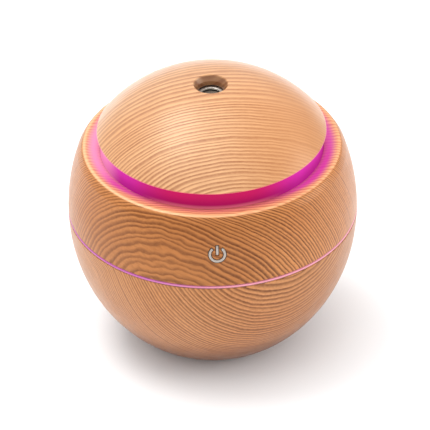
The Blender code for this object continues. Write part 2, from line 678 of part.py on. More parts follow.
def make_screws(mat, parent):
    for i, angle in enumerate(LOCK_ANGLES, 1):
        x, y = BASE_SCREW_CIRCLE * cos(radians(angle)), BASE_SCREW_CIRCLE * sin(radians(angle))
        place(make_screw(f"base_screw_{i}", BASE_SCREW, mat, parent), x, y, PLATE_BOTTOM - GAP)
    for i, angle in enumerate(POST_ANGLES, 1):
        x, y = POST_CIRCLE * cos(radians(angle)), POST_CIRCLE * sin(radians(angle))
        screw = place(make_screw(f"board_screw_{i}", BOARD_SCREW, mat, parent), x, y, BOARD_TOP + GAP)
        screw.rotation_euler.x = pi


def make_main_board(mats, parent):
    """The ring-shaped board with a tab for the USB inlet, and the parts soldered to it."""
    outline = [
        (BOARD_HOLE, BOARD_BOTTOM),
        (BOARD_RADIUS, BOARD_BOTTOM),
        (BOARD_RADIUS, BOARD_TOP),
        (BOARD_HOLE, BOARD_TOP),
    ]
    board = turned("main_board", outline, mats["board"], parent, SHELL_SIDES)
    tab = bmesh.new()
    tab_start = 24.0
    size = (TAB_WIDTH, TAB_END - tab_start, BOARD_THICKNESS)
    add_box(tab, size, (0, (TAB_END + tab_start) / 2, BOARD_BOTTOM + BOARD_THICKNESS / 2))
    boolean(board, mesh_object("tab_tool", tab, mats["board"], parent), "UNION")
    holes = bmesh.new()
    for angle in POST_ANGLES:
        hole_radius = BOARD_SCREW[2] + GAP
        add_post(holes, hole_radius, BOARD_BOTTOM - 1, BOARD_TOP + 1, POST_CIRCLE, angle)
    boolean(board, mesh_object("board_hole_tool", holes, mats["board"], parent), "DIFFERENCE")
    on_board = BOARD_TOP + GAP
    for i, angle in enumerate(LED_ANGLES, 1):
        led = block(f"led_{i}", (LED_SIDE, LED_SIDE, LED_HEIGHT), mats["led"], parent, 0.3)
        x, y = LED_CIRCLE * cos(radians(angle)), LED_CIRCLE * sin(radians(angle))
        place(led, x, y, on_board + LED_HEIGHT / 2, angle)
    chip = block("driver_chip", CHIP_SIZE, mats["black"], parent, 0.25)
    place(chip, *CHIP_AT, on_board + CHIP_SIZE[2] / 2)
    make_inductor(mats["black"], parent, on_board)
    make_capacitor(mats["aluminium"], parent, on_board)
    make_usb_socket(mats["steel"], parent)
    touch_board = block("touch_board", TOUCH_BOARD_SIZE, mats["board"], parent)
    place(touch_board, 0, TOUCH_BOARD_Y, on_board + TOUCH_BOARD_SIZE[2] / 2)
    coil = (TOUCH_SPRING_RADIUS, TOUCH_SPRING_WIRE, TOUCH_SPRING_TURNS, TOUCH_SPRING_LENGTH)
    touch_spring = make_coil("touch_spring", coil, mats["steel"], parent)
    spring_y = TOUCH_BOARD_Y - TOUCH_BOARD_SIZE[1] / 2 - GAP
    place(touch_spring, 0, spring_y, KEY_HEIGHT + TOUCH_SPRING_RISE)
    touch_spring.rotation_euler.x = pi / 2


def make_inductor(mat, parent, on_board):
    radius, height, chamfer = INDUCTOR_RADIUS, INDUCTOR_HEIGHT, 0.6
    outline = [
        (0, 0),
        (radius - chamfer, 0),
        (radius, chamfer),
        (radius, height - chamfer),
        (radius - chamfer, height),
        (0, height),
    ]
    place(turned("power_inductor", outline, mat, parent), *INDUCTOR_AT, on_board)


def make_capacitor(mat, parent, on_board):
    """The capacitor's can, with its crimp near the bottom."""
    radius, height, crimp, crimp_depth, chamfer = CAN_RADIUS, CAN_HEIGHT, 1.3, 0.3, 0.4
    outline = [
        (0, 0),
        (radius, 0),
        (radius, crimp - chamfer),
        (radius - crimp_depth, crimp),
        (radius, crimp + chamfer),
        (radius, height - chamfer),
        (radius - chamfer, height),
        (0, height),
    ]
    place(turned("capacitor", outline, mat, parent), *CAN_AT, on_board)


def make_usb_socket(mat, parent):
    width, depth, height = USB_SIZE
    socket = block("usb_socket", USB_SIZE, mat, parent, 0.15)
    place(socket, 0, USB_FACE - depth / 2, USB_HEIGHT)
    pocket = block("usb_pocket_tool", USB_POCKET, mat, parent, 0.3)
    place(pocket, 0, USB_FACE - USB_POCKET_DEPTH + USB_POCKET[1] / 2, USB_HEIGHT)
    boolean(socket, pocket, "DIFFERENCE")


def make_materials():
    return {
        "wood": material("wood_look", (0.62, 0.38, 0.2), 0.35),
        "glow": material("frosted_glow", (0.85, 0.12, 0.5), 0.4),
        "white": material("white_plastic", (0.85, 0.84, 0.8), 0.45),
        "silicone": material("silicone", (0.8, 0.8, 0.78), 0.7),
        "rubber": material("rubber", (0.1, 0.09, 0.08), 0.8),
        "steel": material("steel", (0.6, 0.6, 0.62), 0.3, 1.0),
        "chrome": material("chrome", (0.8, 0.8, 0.82), 0.12, 1.0),
        "aluminium": material("aluminium", (0.75, 0.75, 0.76), 0.35, 1.0),
        "ceramic": material("ceramic", (0.78, 0.72, 0.6), 0.6),
        "board": material("board_green", (0.05, 0.25, 0.12), 0.5),
        "black": material("black_plastic", (0.03, 0.03, 0.03), 0.5),
        "led": material("led_white", (0.9, 0.88, 0.8), 0.3),
        "wick": material("wick_fibre", (0.9, 0.89, 0.86), 0.95),
        "red_lead": material("red_lead", (0.6, 0.03, 0.03), 0.5),
        "black_lead": material("black_lead", (0.02, 0.02, 0.02), 0.5),
    }


def main():
    clear_scene()
    mats = make_materials()
    tank = group("tank")
    seal_carrier = group("seal_carrier", tank)
    head = group("head", seal_carrier)
    holder = group("holder", head)
    make_lower_shell(mats["wood"], tank)
    make_foot(mats["rubber"], tank)
    make_tank_seal(mats["silicone"], seal_carrier)
    make_upper_shell(mats["wood"], head)
    make_dome(mats["wood"], head)
    make_light_ring(mats["glow"], head)
    make_seam_ring(mats["glow"], head)
    key_ring("power_icon_ring", 0, mats["chrome"], head)
    key_bar("power_icon_bar", 0, mats["chrome"], head)
    make_head_base(mats["white"], head)
    make_tower(mats["white"], head)
    make_atomizer(mats, head)
    make_lead("piezo_lead_red", 1.4, mats["red_lead"], head)
    make_lead("piezo_lead_black", -1.4, mats["black_lead"], head)
    make_main_board(mats, head)
    make_screws(mats["steel"], head)
    make_wick_holder(mats, holder)
    make_wick(mats["wick"], group("wick_slide", holder))


main()
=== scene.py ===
"""The looks of a ball-shaped oil diffuser with a printed wood finish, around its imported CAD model.

Every solid that shows is replaced by a finer piece on the same lines: turned shells with rounded edges,
a glowing ring under the dome, a thin glowing seam, a silver key, and the works inside.
Lengths are in millimetres until a mesh or a material turns them into metres.
"""

from collections import namedtuple
from math import asin, atan2, cos, degrees, pi, radians, sin, sqrt, tan

import bmesh
import bpy
from mathutils import Matrix, Vector


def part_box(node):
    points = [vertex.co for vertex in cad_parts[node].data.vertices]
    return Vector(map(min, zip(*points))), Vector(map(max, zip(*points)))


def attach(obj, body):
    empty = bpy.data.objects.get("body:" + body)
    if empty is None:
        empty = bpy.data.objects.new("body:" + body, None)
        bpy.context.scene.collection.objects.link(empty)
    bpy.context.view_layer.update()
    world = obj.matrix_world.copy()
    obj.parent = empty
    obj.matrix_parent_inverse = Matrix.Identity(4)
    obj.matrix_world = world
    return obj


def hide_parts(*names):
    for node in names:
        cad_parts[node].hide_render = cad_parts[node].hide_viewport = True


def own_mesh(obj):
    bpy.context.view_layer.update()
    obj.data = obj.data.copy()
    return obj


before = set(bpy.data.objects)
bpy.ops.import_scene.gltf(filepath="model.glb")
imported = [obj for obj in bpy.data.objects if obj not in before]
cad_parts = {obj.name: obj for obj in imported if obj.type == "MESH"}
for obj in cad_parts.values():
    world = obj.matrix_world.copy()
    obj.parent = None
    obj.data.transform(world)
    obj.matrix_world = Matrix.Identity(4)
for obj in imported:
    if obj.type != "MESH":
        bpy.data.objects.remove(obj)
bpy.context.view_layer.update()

MM = 0.001

# Driving dimensions, as in the CAD model
BALL_RADIUS = 50.0
EQUATOR = 51.0
LOWER_DEPTH = 56.2
UPPER_DEPTH = 58.7
TANK_WALL = 2.4
BORE_RADIUS, BORE_BOTTOM = 46.5, 38.4
EDGE_RADIUS = 44.0
BEZEL_INNER, BEZEL_HEIGHT = 38.5, 75.5
SHELL_WALL = 2.2
DOME_RADIUS, DOME_CENTRE, DOME_WALL = 50.3, 50.9, 2.1
LIP_RADIUS, LIP_ROUND = 6.0, 1.4
COLLAR_BOTTOM = 97.3
LOCK_ANGLES = (0, 120, 240)
KEY_AZIMUTH, KEY_HEIGHT = 1.5, 63.7
KEY_RADIUS, KEY_STROKE, KEY_DEPTH, KEY_OPENING = 3.05, 1.0, 0.6, 74
KEY_BAR_TOP, KEY_BAR_BOTTOM = 3.3, -0.2
KEY_GAP = 0.2
LUG_WIDTH, LUG_OUTER, LUG_BOTTOM, LUG_TOP = 40, 46.0, 41.9, 43.8
BASE_SCREW_CIRCLE = 39.0
SHAFT_RADIUS, GUIDE_RADIUS = 6.6, 4.6
SOCKET_INNER, SOCKET_OUTER, SOCKET_BOTTOM, GASKET_LAND = 10.4, 12.0, 44.0, 49.1
BOARD_BOTTOM, BOARD_THICKNESS = 58.0, 1.6
PARTS_FOOT = 59.9
POST_ANGLES, POST_CIRCLE = (60, 180, 300), 31.0
LED_ANGLES, LED_CIRCLE = (30, 90, 150, 210, 270, 330), 27.0
CHIP_AT = (-18.0, 4.0)
USB_HEIGHT = 61.25
SPRING_FOOT, SPRING_LENGTH, WICK_TRAVEL = 7.8, 12.0, 4.0

# How finely round pieces are turned, and the bend in degrees past which an edge is shown sharp
SIDES = 256
SMALL_SIDES = 96
SHARP_ANGLE = 32
WIRE_SHARP_ANGLE = 50

# The share of the ball's radius past which a face carries the wood film
SKIN_FROM = 0.985

# Radii of the holes for screws in the posts and board, and in the plate and bosses
POST_HOLE, PLATE_HOLE = 1.3, 1.5

# The camera, fitted to the photograph
CAMERA_DISTANCE = 2000.0
CAMERA_ELEVATION = 34.49
CAMERA_ROLL = -0.945
CAMERA_LENS = 483.4
CAMERA_SHIFT = (0.0053, -0.0257)


def top_of(node):
    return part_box(node)[1].z / MM


def bottom_of(node):
    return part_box(node)[0].z / MM


def span(node):
    """The heights of a CAD node's bottom and top."""
    return bottom_of(node), top_of(node)


def middle_of(node):
    low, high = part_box(node)
    return Matrix.Translation((low + high) / 2 / MM)


def size_of(node):
    low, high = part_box(node)
    return (high - low) / MM


def round_part(node):
    """The place of a round node's foot in metres, and its radius and height in millimetres."""
    low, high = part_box(node)
    centre = (low + high) / 2 / MM
    place = Matrix.Translation((centre.x * MM, centre.y * MM, low.z))
    return place, (high.x - low.x) / 2 / MM, (high.z - low.z) / MM


def moved(x, y, z):
    return Matrix.Translation((x, y, z))


# Meshes


def mesh_piece(name, bm, materials, body, nodes, slot):
    """Turns a bmesh in millimetres into a piece that rides on a body and stands for CAD nodes."""
    bmesh.ops.remove_doubles(bm, verts=bm.verts, dist=0.0005)
    bmesh.ops.recalc_face_normals(bm, faces=bm.faces)
    bmesh.ops.scale(bm, vec=(MM, MM, MM), verts=bm.verts)
    mesh = bpy.data.meshes.new(name)
    bm.to_mesh(mesh)
    bm.free()
    return finished(name, mesh, materials, body, nodes, slot, SHARP_ANGLE)


def linked(name, data):
    """A new object in the scene."""
    thing = bpy.data.objects.new(name, data)
    bpy.context.scene.collection.objects.link(thing)
    return thing


def finished(name, mesh, materials, body, nodes, slot, sharp):
    """Makes a mesh in metres into a piece, with the materials whose names are given in one text."""
    for key in materials.split():
        mesh.materials.append(materials_by_name[key])
    mesh.shade_smooth()
    mesh.set_sharp_from_angle(angle=radians(sharp))
    piece = linked(name, mesh)
    if body:
        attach(piece, body)
    if nodes:
        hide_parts(*nodes)
    return piece


def rounded(corners, steps=4):
    """An outline whose (radius, height, round) corners are eased by curves of about that radius."""
    points = []
    count = len(corners)
    for i, (r, z, ease) in enumerate(corners):
        here = Vector((r, z))
        if not ease:
            points.append((r, z))
            continue
        before = Vector(corners[i - 1][:2]) - here
        after = Vector(corners[(i + 1) % count][:2]) - here
        half = before.angle(after) / 2
        reach = min(ease / tan(half), before.length * 0.49, after.length * 0.49)
        start, end = here + before.normalized() * reach, here + after.normalized() * reach
        for k in range(steps + 1):
            t = k / steps
            points.append(tuple(start * (1 - t) ** 2 + here * 2 * t * (1 - t) + end * t * t))
    return points


def plain(points):
    """Outline points that keep their corners, for use among eased ones."""
    return [(r, z, 0) for r, z in points]


def add_turned(bm, outline, sides):
    """Spins a closed outline of (radius, height) points about Z. An outline may start and end on Z."""
    rings = []
    for r, z in outline:
        if r < 1e-6:
            rings.append([bm.verts.new((0, 0, z))])
            continue
        angles = [2 * pi * k / sides for k in range(sides)]
        rings.append([bm.verts.new((r * cos(a), r * sin(a), z)) for a in angles])
    pairs = list(zip(rings, rings[1:]))
    if outline[0][0] > 1e-6:
        pairs.append((rings[-1], rings[0]))
    for low, high in pairs:
        for k in range(sides):
            n = (k + 1) % sides
            corners = [low[k % len(low)], low[n % len(low)], high[n % len(high)], high[k % len(high)]]
            bm.faces.new(list(dict.fromkeys(corners)))


def turned(name, outline, materials, body, nodes, slot, sides=SMALL_SIDES):
    bm = bmesh.new()
    add_turned(bm, outline, sides)
    return mesh_piece(name, bm, materials, body, nodes, slot)


def add_arc_block(bm, outline, middle, width, steps):
    """Adds a block that follows a circle: its section of (radius, height), middle and width in degrees."""
    rows = []
    for k in range(steps + 1):
        a = radians(middle - width / 2 + width * k / steps)
        rows.append([bm.verts.new((r * cos(a), r * sin(a), z)) for r, z in outline])
    count = len(outline)
    for low, high in zip(rows, rows[1:]):
        for k in range(count):
            n = (k + 1) % count
            bm.faces.new((low[k], low[n], high[n], high[k]))
    bm.faces.new(rows[0])
    bm.faces.new(reversed(rows[-1]))


def section(inner, outer, bottom, top, ease):
    """A rectangle in the outline's plane with eased corners."""
    corners = [(inner, bottom), (outer, bottom), (outer, top), (inner, top)]
    return rounded([(r, z, ease) for r, z in corners])


def add_cylinder(bm, radius, bottom, top, matrix, sides=48):
    """Adds an upright cylinder, placed by a matrix."""
    middle = moved(0, 0, (bottom + top) / 2)
    bmesh.ops.create_cone(
        bm, cap_ends=True, segments=sides, radius1=radius, radius2=radius,
        depth=top - bottom, matrix=matrix @ middle,
    )


def ease_edges(bm, edges, offset, segments):
    return bmesh.ops.bevel(
        bm, geom=list(edges), offset=offset, segments=segments, profile=0.5, affect="EDGES"
    )


def runs_along(edge, axis):
    """Whether an edge goes more than a millimetre along an axis."""
    start, end = edge.verts
    return abs(start.co[axis] - end.co[axis]) > 1


def add_box(bm, size, matrix, ease=0.0, segments=3):
    """Adds a box about its own centre, placed by a matrix, with rounded edges if asked."""
    made = bmesh.ops.create_cube(bm, size=1, matrix=Matrix.Diagonal((*size, 1)))["verts"]
    if ease:
        rounding = ease_edges(bm, {e for v in made for e in v.link_edges}, ease, segments)
        made = list({v for f in rounding["faces"] for v in f.verts} | {v for v in made if v.is_valid})
    bmesh.ops.transform(bm, matrix=matrix, verts=made)


def about_z(angle, x, y=0.0, z=0.0):
    """A place that is turned about Z by degrees."""
    return Matrix.Rotation(radians(angle), 4, "Z") @ moved(x, y, z)


def evaluated_mesh(thing):
    """A copy of an object's shape with its modifiers or curve settings applied."""
    bpy.context.view_layer.update()
    depsgraph = bpy.context.evaluated_depsgraph_get()
    return bpy.data.meshes.new_from_object(thing.evaluated_get(depsgraph))


def combine(piece, bm, operation, index, crossing=False):
    """Applies a Boolean with a shape whose faces take the piece's material of that index.

    A shape whose own parts cross each other needs to say so.
    """
    for face in bm.faces:
        face.material_index = index
    cutter = mesh_piece("tool", bm, "", None, (), "")
    for material in piece.data.materials:
        cutter.data.materials.append(material)
    cut = piece.modifiers.new("cut", "BOOLEAN")
    cut.operation = operation
    cut.solver = "EXACT"
    cut.use_self = crossing
    cut.object = cutter
    mesh = evaluated_mesh(piece)
    if not mesh.polygons:
        raise ValueError(f"the Boolean on {piece.name} left nothing")
    mesh.set_sharp_from_angle(angle=radians(SHARP_ANGLE))
    piece.modifiers.clear()
    piece.data = mesh
    bpy.data.objects.remove(cutter)


def join(piece, bm, index=0):
    """Adds a shape to a piece."""
    combine(piece, bm, "UNION", index)


def carve(piece, bm, index=0, crossing=False):
    """Takes a shape out of a piece."""
    combine(piece, bm, "DIFFERENCE", index, crossing)


def paint(piece, rule):
    """Gives each face the material index that a rule finds from its centre's radius and height."""
    for face in piece.data.polygons:
        centre = face.center / MM
        face.material_index = rule(centre.xy.length, centre.z)


def in_skin(radius, height, depth):
    """Whether a point lies in the ball's outer skin, which carries the wood film."""
    return sqrt((radius / BALL_RADIUS) ** 2 + ((height - EQUATOR) / depth) ** 2) > SKIN_FROM


def arc(centre, radius, start, end, steps):
    """Points on a circle in the outline's plane, from one angle to another in degrees."""
    angles = [radians(start + (end - start) * i / steps) for i in range(steps + 1)]
    return [(centre[0] + radius * cos(a), centre[1] + radius * sin(a)) for a in angles]


def side(radius, depth, bottom, top, steps):
    """Points up an ellipse about the equator, between two heights."""
    low, high = asin((bottom - EQUATOR) / depth), asin((top - EQUATOR) / depth)
    angles = [low + (high - low) * i / steps for i in range(steps + 1)]
    return [(radius * cos(a), EQUATOR + depth * sin(a)) for a in angles]


def dome_height(radius, depth=0.0):
    """Height of the dome's outer face at a radius, or of a face that lies deeper."""
    return DOME_CENTRE + sqrt((DOME_RADIUS - depth) ** 2 - radius**2)


def cap(inner_radius, outer_radius, depth, steps):
    """Points along the dome from one radius to another."""
    rises = [dome_height(r, depth) - DOME_CENTRE for r in (inner_radius, outer_radius)]
    start, end = degrees(atan2(rises[0], inner_radius)), degrees(atan2(rises[1], outer_radius))
    return arc((0, DOME_CENTRE), DOME_RADIUS - depth, start, end, steps)


# Materials


def colour(red, green, blue):
    """A display colour, 0 to 255, as the linear colour that a shader takes."""
    shares = [value / 255 for value in (red, green, blue)]
    linear = [s / 12.92 if s <= 0.04045 else ((s + 0.055) / 1.055) ** 2.4 for s in shares]
    return (*linear, 1.0)


class Material:
    """A node material that is built up through short calls."""

    def __init__(self, name, **sockets):
        self.material = bpy.data.materials.new(name)
        self.material.use_nodes = True
        self.tree = self.material.node_tree
        self.shader = self.tree.nodes["Principled BSDF"]
        for socket, value in sockets.items():
            self.set(socket.replace("_", " "), value)
        place = self.add("TexCoord", {}).outputs["Object"]
        self.mm = self.vector("SCALE", place, scale=1 / MM)

    def find_place(self):
        """Finds height, radius, and how far a point lies to the front and left, from -1 to 1."""
        parts = self.add("SeparateXYZ", {"Vector": self.mm}).outputs
        flat = self.add("CombineXYZ", [parts["X"], parts["Y"], 0.0]).outputs[0]
        self.height = parts["Z"]
        self.radius = self.vector("LENGTH", flat)
        self.forward = self.math("DIVIDE", self.times(parts["Y"], -1.0), self.radius)
        self.leftward = self.math("DIVIDE", self.times(parts["X"], -1.0), self.radius)

    def add(self, kind, inputs, **settings):
        node = self.tree.nodes.new("ShaderNode" + kind)
        for key, value in settings.items():
            setattr(node, key, value)
        pairs = inputs.items() if isinstance(inputs, dict) else enumerate(inputs)
        for key, value in pairs:
            self.join(value, node.inputs[key])
        return node

    def join(self, value, socket):
        if isinstance(value, bpy.types.NodeSocket):
            self.tree.links.new(value, socket)
        else:
            socket.default_value = value

    def set(self, socket, value):
        self.join(value, self.shader.inputs[socket])

    def math(self, operation, *values):
        return self.add("Math", values, operation=operation).outputs[0]

    def times(self, first, second):
        return self.math("MULTIPLY", first, second)

    def vector(self, operation, *values, scale=None):
        node = self.add("VectorMath", values, operation=operation)
        if scale is not None:
            self.join(scale, node.inputs["Scale"])
        scalar = operation in ("DOT_PRODUCT", "LENGTH", "DISTANCE")
        return node.outputs["Value" if scalar else "Vector"]

    def noise(self, place, scale, detail=2.0, roughness=0.5):
        """Noise from 0 to 1 about 0.5, with features about 1 / scale long."""
        inputs = {"Vector": place, "Scale": scale, "Detail": detail, "Roughness": roughness}
        return self.add("TexNoise", inputs).outputs["Fac"]

    def noise_along(self, value, scale):
        """Noise that depends on one number only."""
        inputs = {"W": value, "Scale": scale, "Detail": 1.0}
        return self.add("TexNoise", inputs, noise_dimensions="1D").outputs["Fac"]

    def between(self, value, low, high, start=0.0, end=1.0):
        """Goes smoothly from start to end as a value goes from low to high."""
        node = self.add("MapRange", [value, low, high, start, end], interpolation_type="SMOOTHSTEP")
        return node.outputs[0]

    def around_point(self, point, near, far, start, end):
        """Goes from start to end as the distance from a point goes from near to far."""
        return self.between(self.vector("DISTANCE", self.mm, point), near, far, start, end)

    def mix(self, share, first, second, blend="MIX"):
        node = self.add("Mix", [], data_type="RGBA", blend_type=blend)
        self.join(share, node.inputs[0])
        self.join(first, node.inputs[6])
        self.join(second, node.inputs[7])
        return node.outputs[2]

    def bump(self, height, distance):
        """Relief of a given depth in millimetres."""
        node = self.add("Bump", {"Height": height, "Distance": distance * MM, "Strength": 1.0})
        self.set("Normal", node.outputs["Normal"])


def moulded(name, base, roughness, grain=0.4, depth=0.01, **sockets):
    """Moulded plastic or rubber: a faint cloudiness, uneven gloss and a fine spark-eroded texture."""
    m = Material(name, **sockets)
    cloud = m.noise(m.mm, 0.06, 3)
    dark = [c * 0.94 for c in base[:3]]
    light = [min(1.0, c * 1.06) for c in base[:3]]
    m.set("Base Color", m.mix(m.between(cloud, 0.3, 0.7), (*dark, 1), (*light, 1)))
    fine = m.noise(m.mm, grain, 4, 0.6)
    m.set("Roughness", m.between(fine, 0.2, 0.8, roughness * 0.85, min(1.0, roughness * 1.15)))
    m.bump(m.noise(m.mm, grain * 8, 2), depth)
    return m.material


def metal(name, base, roughness):
    """Metal with fine drawing marks along one way."""
    m = Material(name, Metallic=1.0)
    marks = m.noise(m.vector("MULTIPLY", m.mm, (1, 1, 12)), 1.2, 3)
    dark = [c * 0.86 for c in base[:3]]
    m.set("Base Color", m.mix(marks, (*dark, 1), base))
    m.set("Roughness", m.between(marks, 0.2, 0.8, roughness * 0.75, roughness * 1.3))
    m.bump(marks, 0.004)
    return m.material


# Where a shell's printed growth rings lie: cones about a leaning pith, with the distance between rings and
# the wider one from some depth on, the point where they are bold, and the point where they run wild
Grain = namedtuple("Grain", "pith axis lean ring far_ring far_from bold swirl wild")
DOME_GRAIN = Grain(
    (21.8, -46.3, 26.6), (-0.918, -0.391, 0.072), -11.3, 1.25, 2.2, 45, (0.0, -28.0, 92.0),
    (24.0, -24.0, 88.0), 0.5,
)
UPPER_GRAIN = Grain(
    (16.9, -4.4, 47.9), (-0.185, -0.982, -0.026), 71.6, 0.8, 0.98, 51, (0.0, -47.0, 64.0),
    (-16.0, -45.0, 58.0), 2.0,
)
LOWER_GRAIN = Grain(
    (-41.3, -17.0, -14.7), (-0.147, 0.827, -0.542), -69.5, 1.02, 1.02, 60, (28.0, -36.0, 36.0),
    (10.0, -42.0, 28.0), 0.4,
)


def wood(name, grain, early, late, contrast=1.0, coat=0.15, haze=0.24):
    """A printed softwood film under satin lacquer: pale early wood that darkens to a thin late line."""
    m = Material(
        name, Coat_Weight=coat, Coat_Roughness=haze,
        Specular_IOR_Level=0.4, Specular_Tint=(1.0, 0.7, 0.45, 1.0),
    )
    pith = (grain.pith[0], grain.pith[1], grain.pith[2] + EQUATOR)
    axis = tuple(Vector(grain.axis).normalized())
    offset = m.vector("SUBTRACT", m.mm, pith)
    along = m.vector("DOT_PRODUCT", offset, axis)
    across = m.vector("SUBTRACT", offset, m.vector("SCALE", axis, scale=along))
    away = m.vector("LENGTH", across)
    lean = radians(grain.lean)
    depth = m.math("ADD", m.times(away, cos(lean)), m.times(along, sin(lean)))
    near_swirl = m.around_point(grain.swirl, 4.0, 24.0, 1.0, 0.0)
    for scale, reach, more in ((0.03, 2.0, 0.0), (0.13, 0.5, grain.wild), (0.5, 0.16, 0.1)):
        sway = m.math("SUBTRACT", m.noise(m.mm, scale, 1.0), 0.5)
        reach = m.math("MULTIPLY_ADD", near_swirl, more, reach)
        depth = m.math("MULTIPLY_ADD", sway, reach, depth)
    beyond = m.math("MAXIMUM", m.math("SUBTRACT", depth, grain.far_from), 0.0)
    stretch = 1 / grain.ring - 1 / grain.far_ring
    count = m.math("SUBTRACT", m.math("DIVIDE", depth, grain.ring), m.times(beyond, stretch))
    count = m.math("ADD", count, m.times(m.noise_along(count, 0.6), 0.7))
    year = m.math("FRACT", count)
    rise = m.between(year, 0.2, 0.7)
    fall = m.between(year, 0.84, 1.0, 1.0, 0.0)
    strength = m.between(m.noise_along(count, 0.45), 0.25, 0.75, 0.75, 1.0)
    late_share = m.times(m.times(rise, fall), strength)
    fleck = m.between(m.noise(m.mm, 0.9, 3), 0.25, 0.75, 0.75 * contrast, contrast)
    late_share = m.times(late_share, fleck)
    bold = m.around_point(grain.bold, 15.0, 75.0, 1.0, 0.6)
    late_share = m.times(late_share, bold)
    faded = m.math("MULTIPLY_ADD", near_swirl, -0.15 * grain.wild, 1.0)
    late_share = m.times(late_share, faded)
    cloud = m.noise(m.mm, 0.03, 2)
    warm = [early[0] * 0.93, early[1] * 0.86, early[2] * 0.78, 1]
    body = m.mix(m.between(cloud, 0.35, 0.7), early, warm)
    fibres = m.add("CombineXYZ", [m.times(count, 3.0), m.times(along, 0.05), away])
    streak = m.noise(fibres.outputs[0], 1.0, 2)
    body = m.mix(m.between(streak, 0.3, 0.8, 0.0, 0.25), body, late)
    m.body = m.mix(late_share, body, late)
    m.set("Base Color", m.body)
    m.set("Roughness", m.between(m.noise(m.mm, 0.2, 3), 0.2, 0.8, 0.3, 0.4))
    m.bump(m.times(late_share, -1.0), 0.012)
    return m


def shine_colour(m, front, sides, left):
    """The light ring's colour: red in front, magenta at the sides, and paler at the far left, where
    painted light from that side is added.
    """
    shine = m.mix(m.between(m.forward, 0.6, 0.97), sides, front)
    return m.mix(m.between(m.leftward, 0.8, 0.99), shine, left)


def upper_wood():
    """The upper shell's film, with painted shade in front and at its left, a painted highlight along the
    bezel's outer edge, and painted glow from the light ring across the bezel.
    """
    m = wood("wood_upper", UPPER_GRAIN, colour(198, 130, 74), colour(74, 22, 0))
    m.find_place()
    # Painted shade: the shell's front darkens towards a point low in front.
    painted_front_shade = m.around_point((-9.0, -46.0, 62.0), 10.0, 42.0, 0.28, 0.0)
    body = m.mix(painted_front_shade, m.body, (0.2, 0.055, 0.008, 1))
    # Painted shade on the shell's left side.
    painted_left_shade = m.around_point((-40.0, -28.0, 60.0), 6.0, 24.0, 0.35, 0.0)
    body = m.mix(painted_left_shade, body, (0.3, 0.1, 0.03, 1))
    on_top = m.times(m.between(m.height, 75.3, 75.9), m.between(m.radius, 44.1, 44.7, 1.0, 0.0))
    sway = m.times(m.noise(m.mm, 0.08, 2), 6.0)
    rows = m.math("ADD", m.times(m.forward, m.radius), sway)
    line = m.between(m.math("PINGPONG", rows, 0.85), 0.3, 0.7, 0.0, 0.75)
    pale = m.mix(line, (0.76, 0.36, 0.17, 1), (0.42, 0.12, 0.05, 1))
    body = m.mix(m.times(on_top, 0.85), body, pale)
    # Painted highlight: a pale band along the bezel's rounded outer edge, stronger towards the left.
    edge = m.times(on_top, m.between(m.radius, 42.9, 43.9))
    edge = m.times(edge, m.between(m.leftward, -0.7, 0.3, 0.1, 0.5))
    body = m.mix(edge, body, (0.9, 0.55, 0.3, 1))
    # Painted glow from the light ring: near the ring the bezel's colour loses green, as its pink light
    # would tint it.
    near = m.between(m.radius, BEZEL_INNER, 44.5, 1.0, 0.0)
    painted_glow_tint = m.times(on_top, m.math("POWER", near, 1.5))
    body = m.mix(painted_glow_tint, body, m.mix(1.0, body, (1.0, 0.62, 1.0, 1), "MULTIPLY"))
    # Painted glow from the light ring on the bezel: a dark base under a glowing band by the ring, and a
    # faint glow spilling outward.
    full = m.between(m.forward, 0.5, 0.95, 40.4, 38.0)
    reach = m.between(m.forward, 0.5, 0.95, 43.6, 39.6)
    core = m.times(m.between(m.radius, full, reach, 0.95, 0.0), on_top)
    core = m.times(core, m.between(line, 0.0, 1.0, 0.85, 1.0))
    m.set("Base Color", m.mix(core, body, (0.04, 0.002, 0.02, 1)))
    painted_glow_pool = shine_colour(m, colour(160, 20, 86), colour(214, 44, 164), colour(252, 150, 200))
    painted_glow_spill = shine_colour(m, (0.1, 0.0, 0.06, 1), (0.14, 0.0, 0.2, 1), (0.26, 0.05, 0.36, 1))
    painted_glow_spill = m.mix(painted_glow_tint, (0, 0, 0, 1), painted_glow_spill)
    m.set("Emission Color", m.mix(core, painted_glow_spill, painted_glow_pool))
    m.set("Emission Strength", 1.0)
    return m.material


def dome_wood():
    """The dome's film, with painted shade on its right and down the mist hole, and painted glow from the
    light ring along its lower edge.
    """
    m = wood("wood_dome", DOME_GRAIN, colour(214, 164, 118), colour(122, 54, 14), 0.76, 0.6, 0.34)
    m.find_place()
    # Painted shade on the dome's right side.
    deep = m.between(m.times(m.leftward, m.radius), -37.0, 4.0, 0.7, 0.0)
    body = m.mix(deep, m.body, (0.46, 0.18, 0.05, 1))
    # Painted shade down the mist hole.
    painted_hole_shade = m.between(m.radius, LIP_RADIUS - 0.5, LIP_RADIUS, 0.7, 0.0)
    body = m.mix(painted_hole_shade, body, (0.1, 0.028, 0.008, 1))
    # Painted glow from the light ring along the dome's lower edge, over a darkened base.
    low = m.between(m.height, 81.9, 82.35, 0.75, 0.0)
    edge = m.times(low, m.between(m.radius, 30.0, 36.0))
    m.set("Base Color", m.mix(edge, body, (0.1, 0.01, 0.03, 1)))
    shine = shine_colour(m, colour(236, 70, 110), colour(236, 70, 160), colour(246, 150, 190))
    m.set("Emission Color", m.mix(edge, (0, 0, 0, 1), shine))
    m.set("Emission Strength", 1.0)
    return m.material


def lower_wood():
    """The tank's film, with painted shade towards its foot and on its right."""
    m = wood("wood_lower", LOWER_GRAIN, colour(200, 138, 88), colour(84, 30, 4), 0.92)
    m.find_place()
    # Painted shade on the tank's right side.
    deep = m.between(m.times(m.leftward, m.radius), -42.0, -10.0, 0.4, 0.0)
    body = m.mix(deep, m.body, (0.3, 0.1, 0.016, 1))
    # Painted shade towards the foot, darker lower down.
    foot = m.between(m.height, 8.0, 24.0, 0.9, 0.0)
    m.set("Base Color", m.mix(foot, body, (0.16, 0.04, 0.004, 1)))
    return m.material


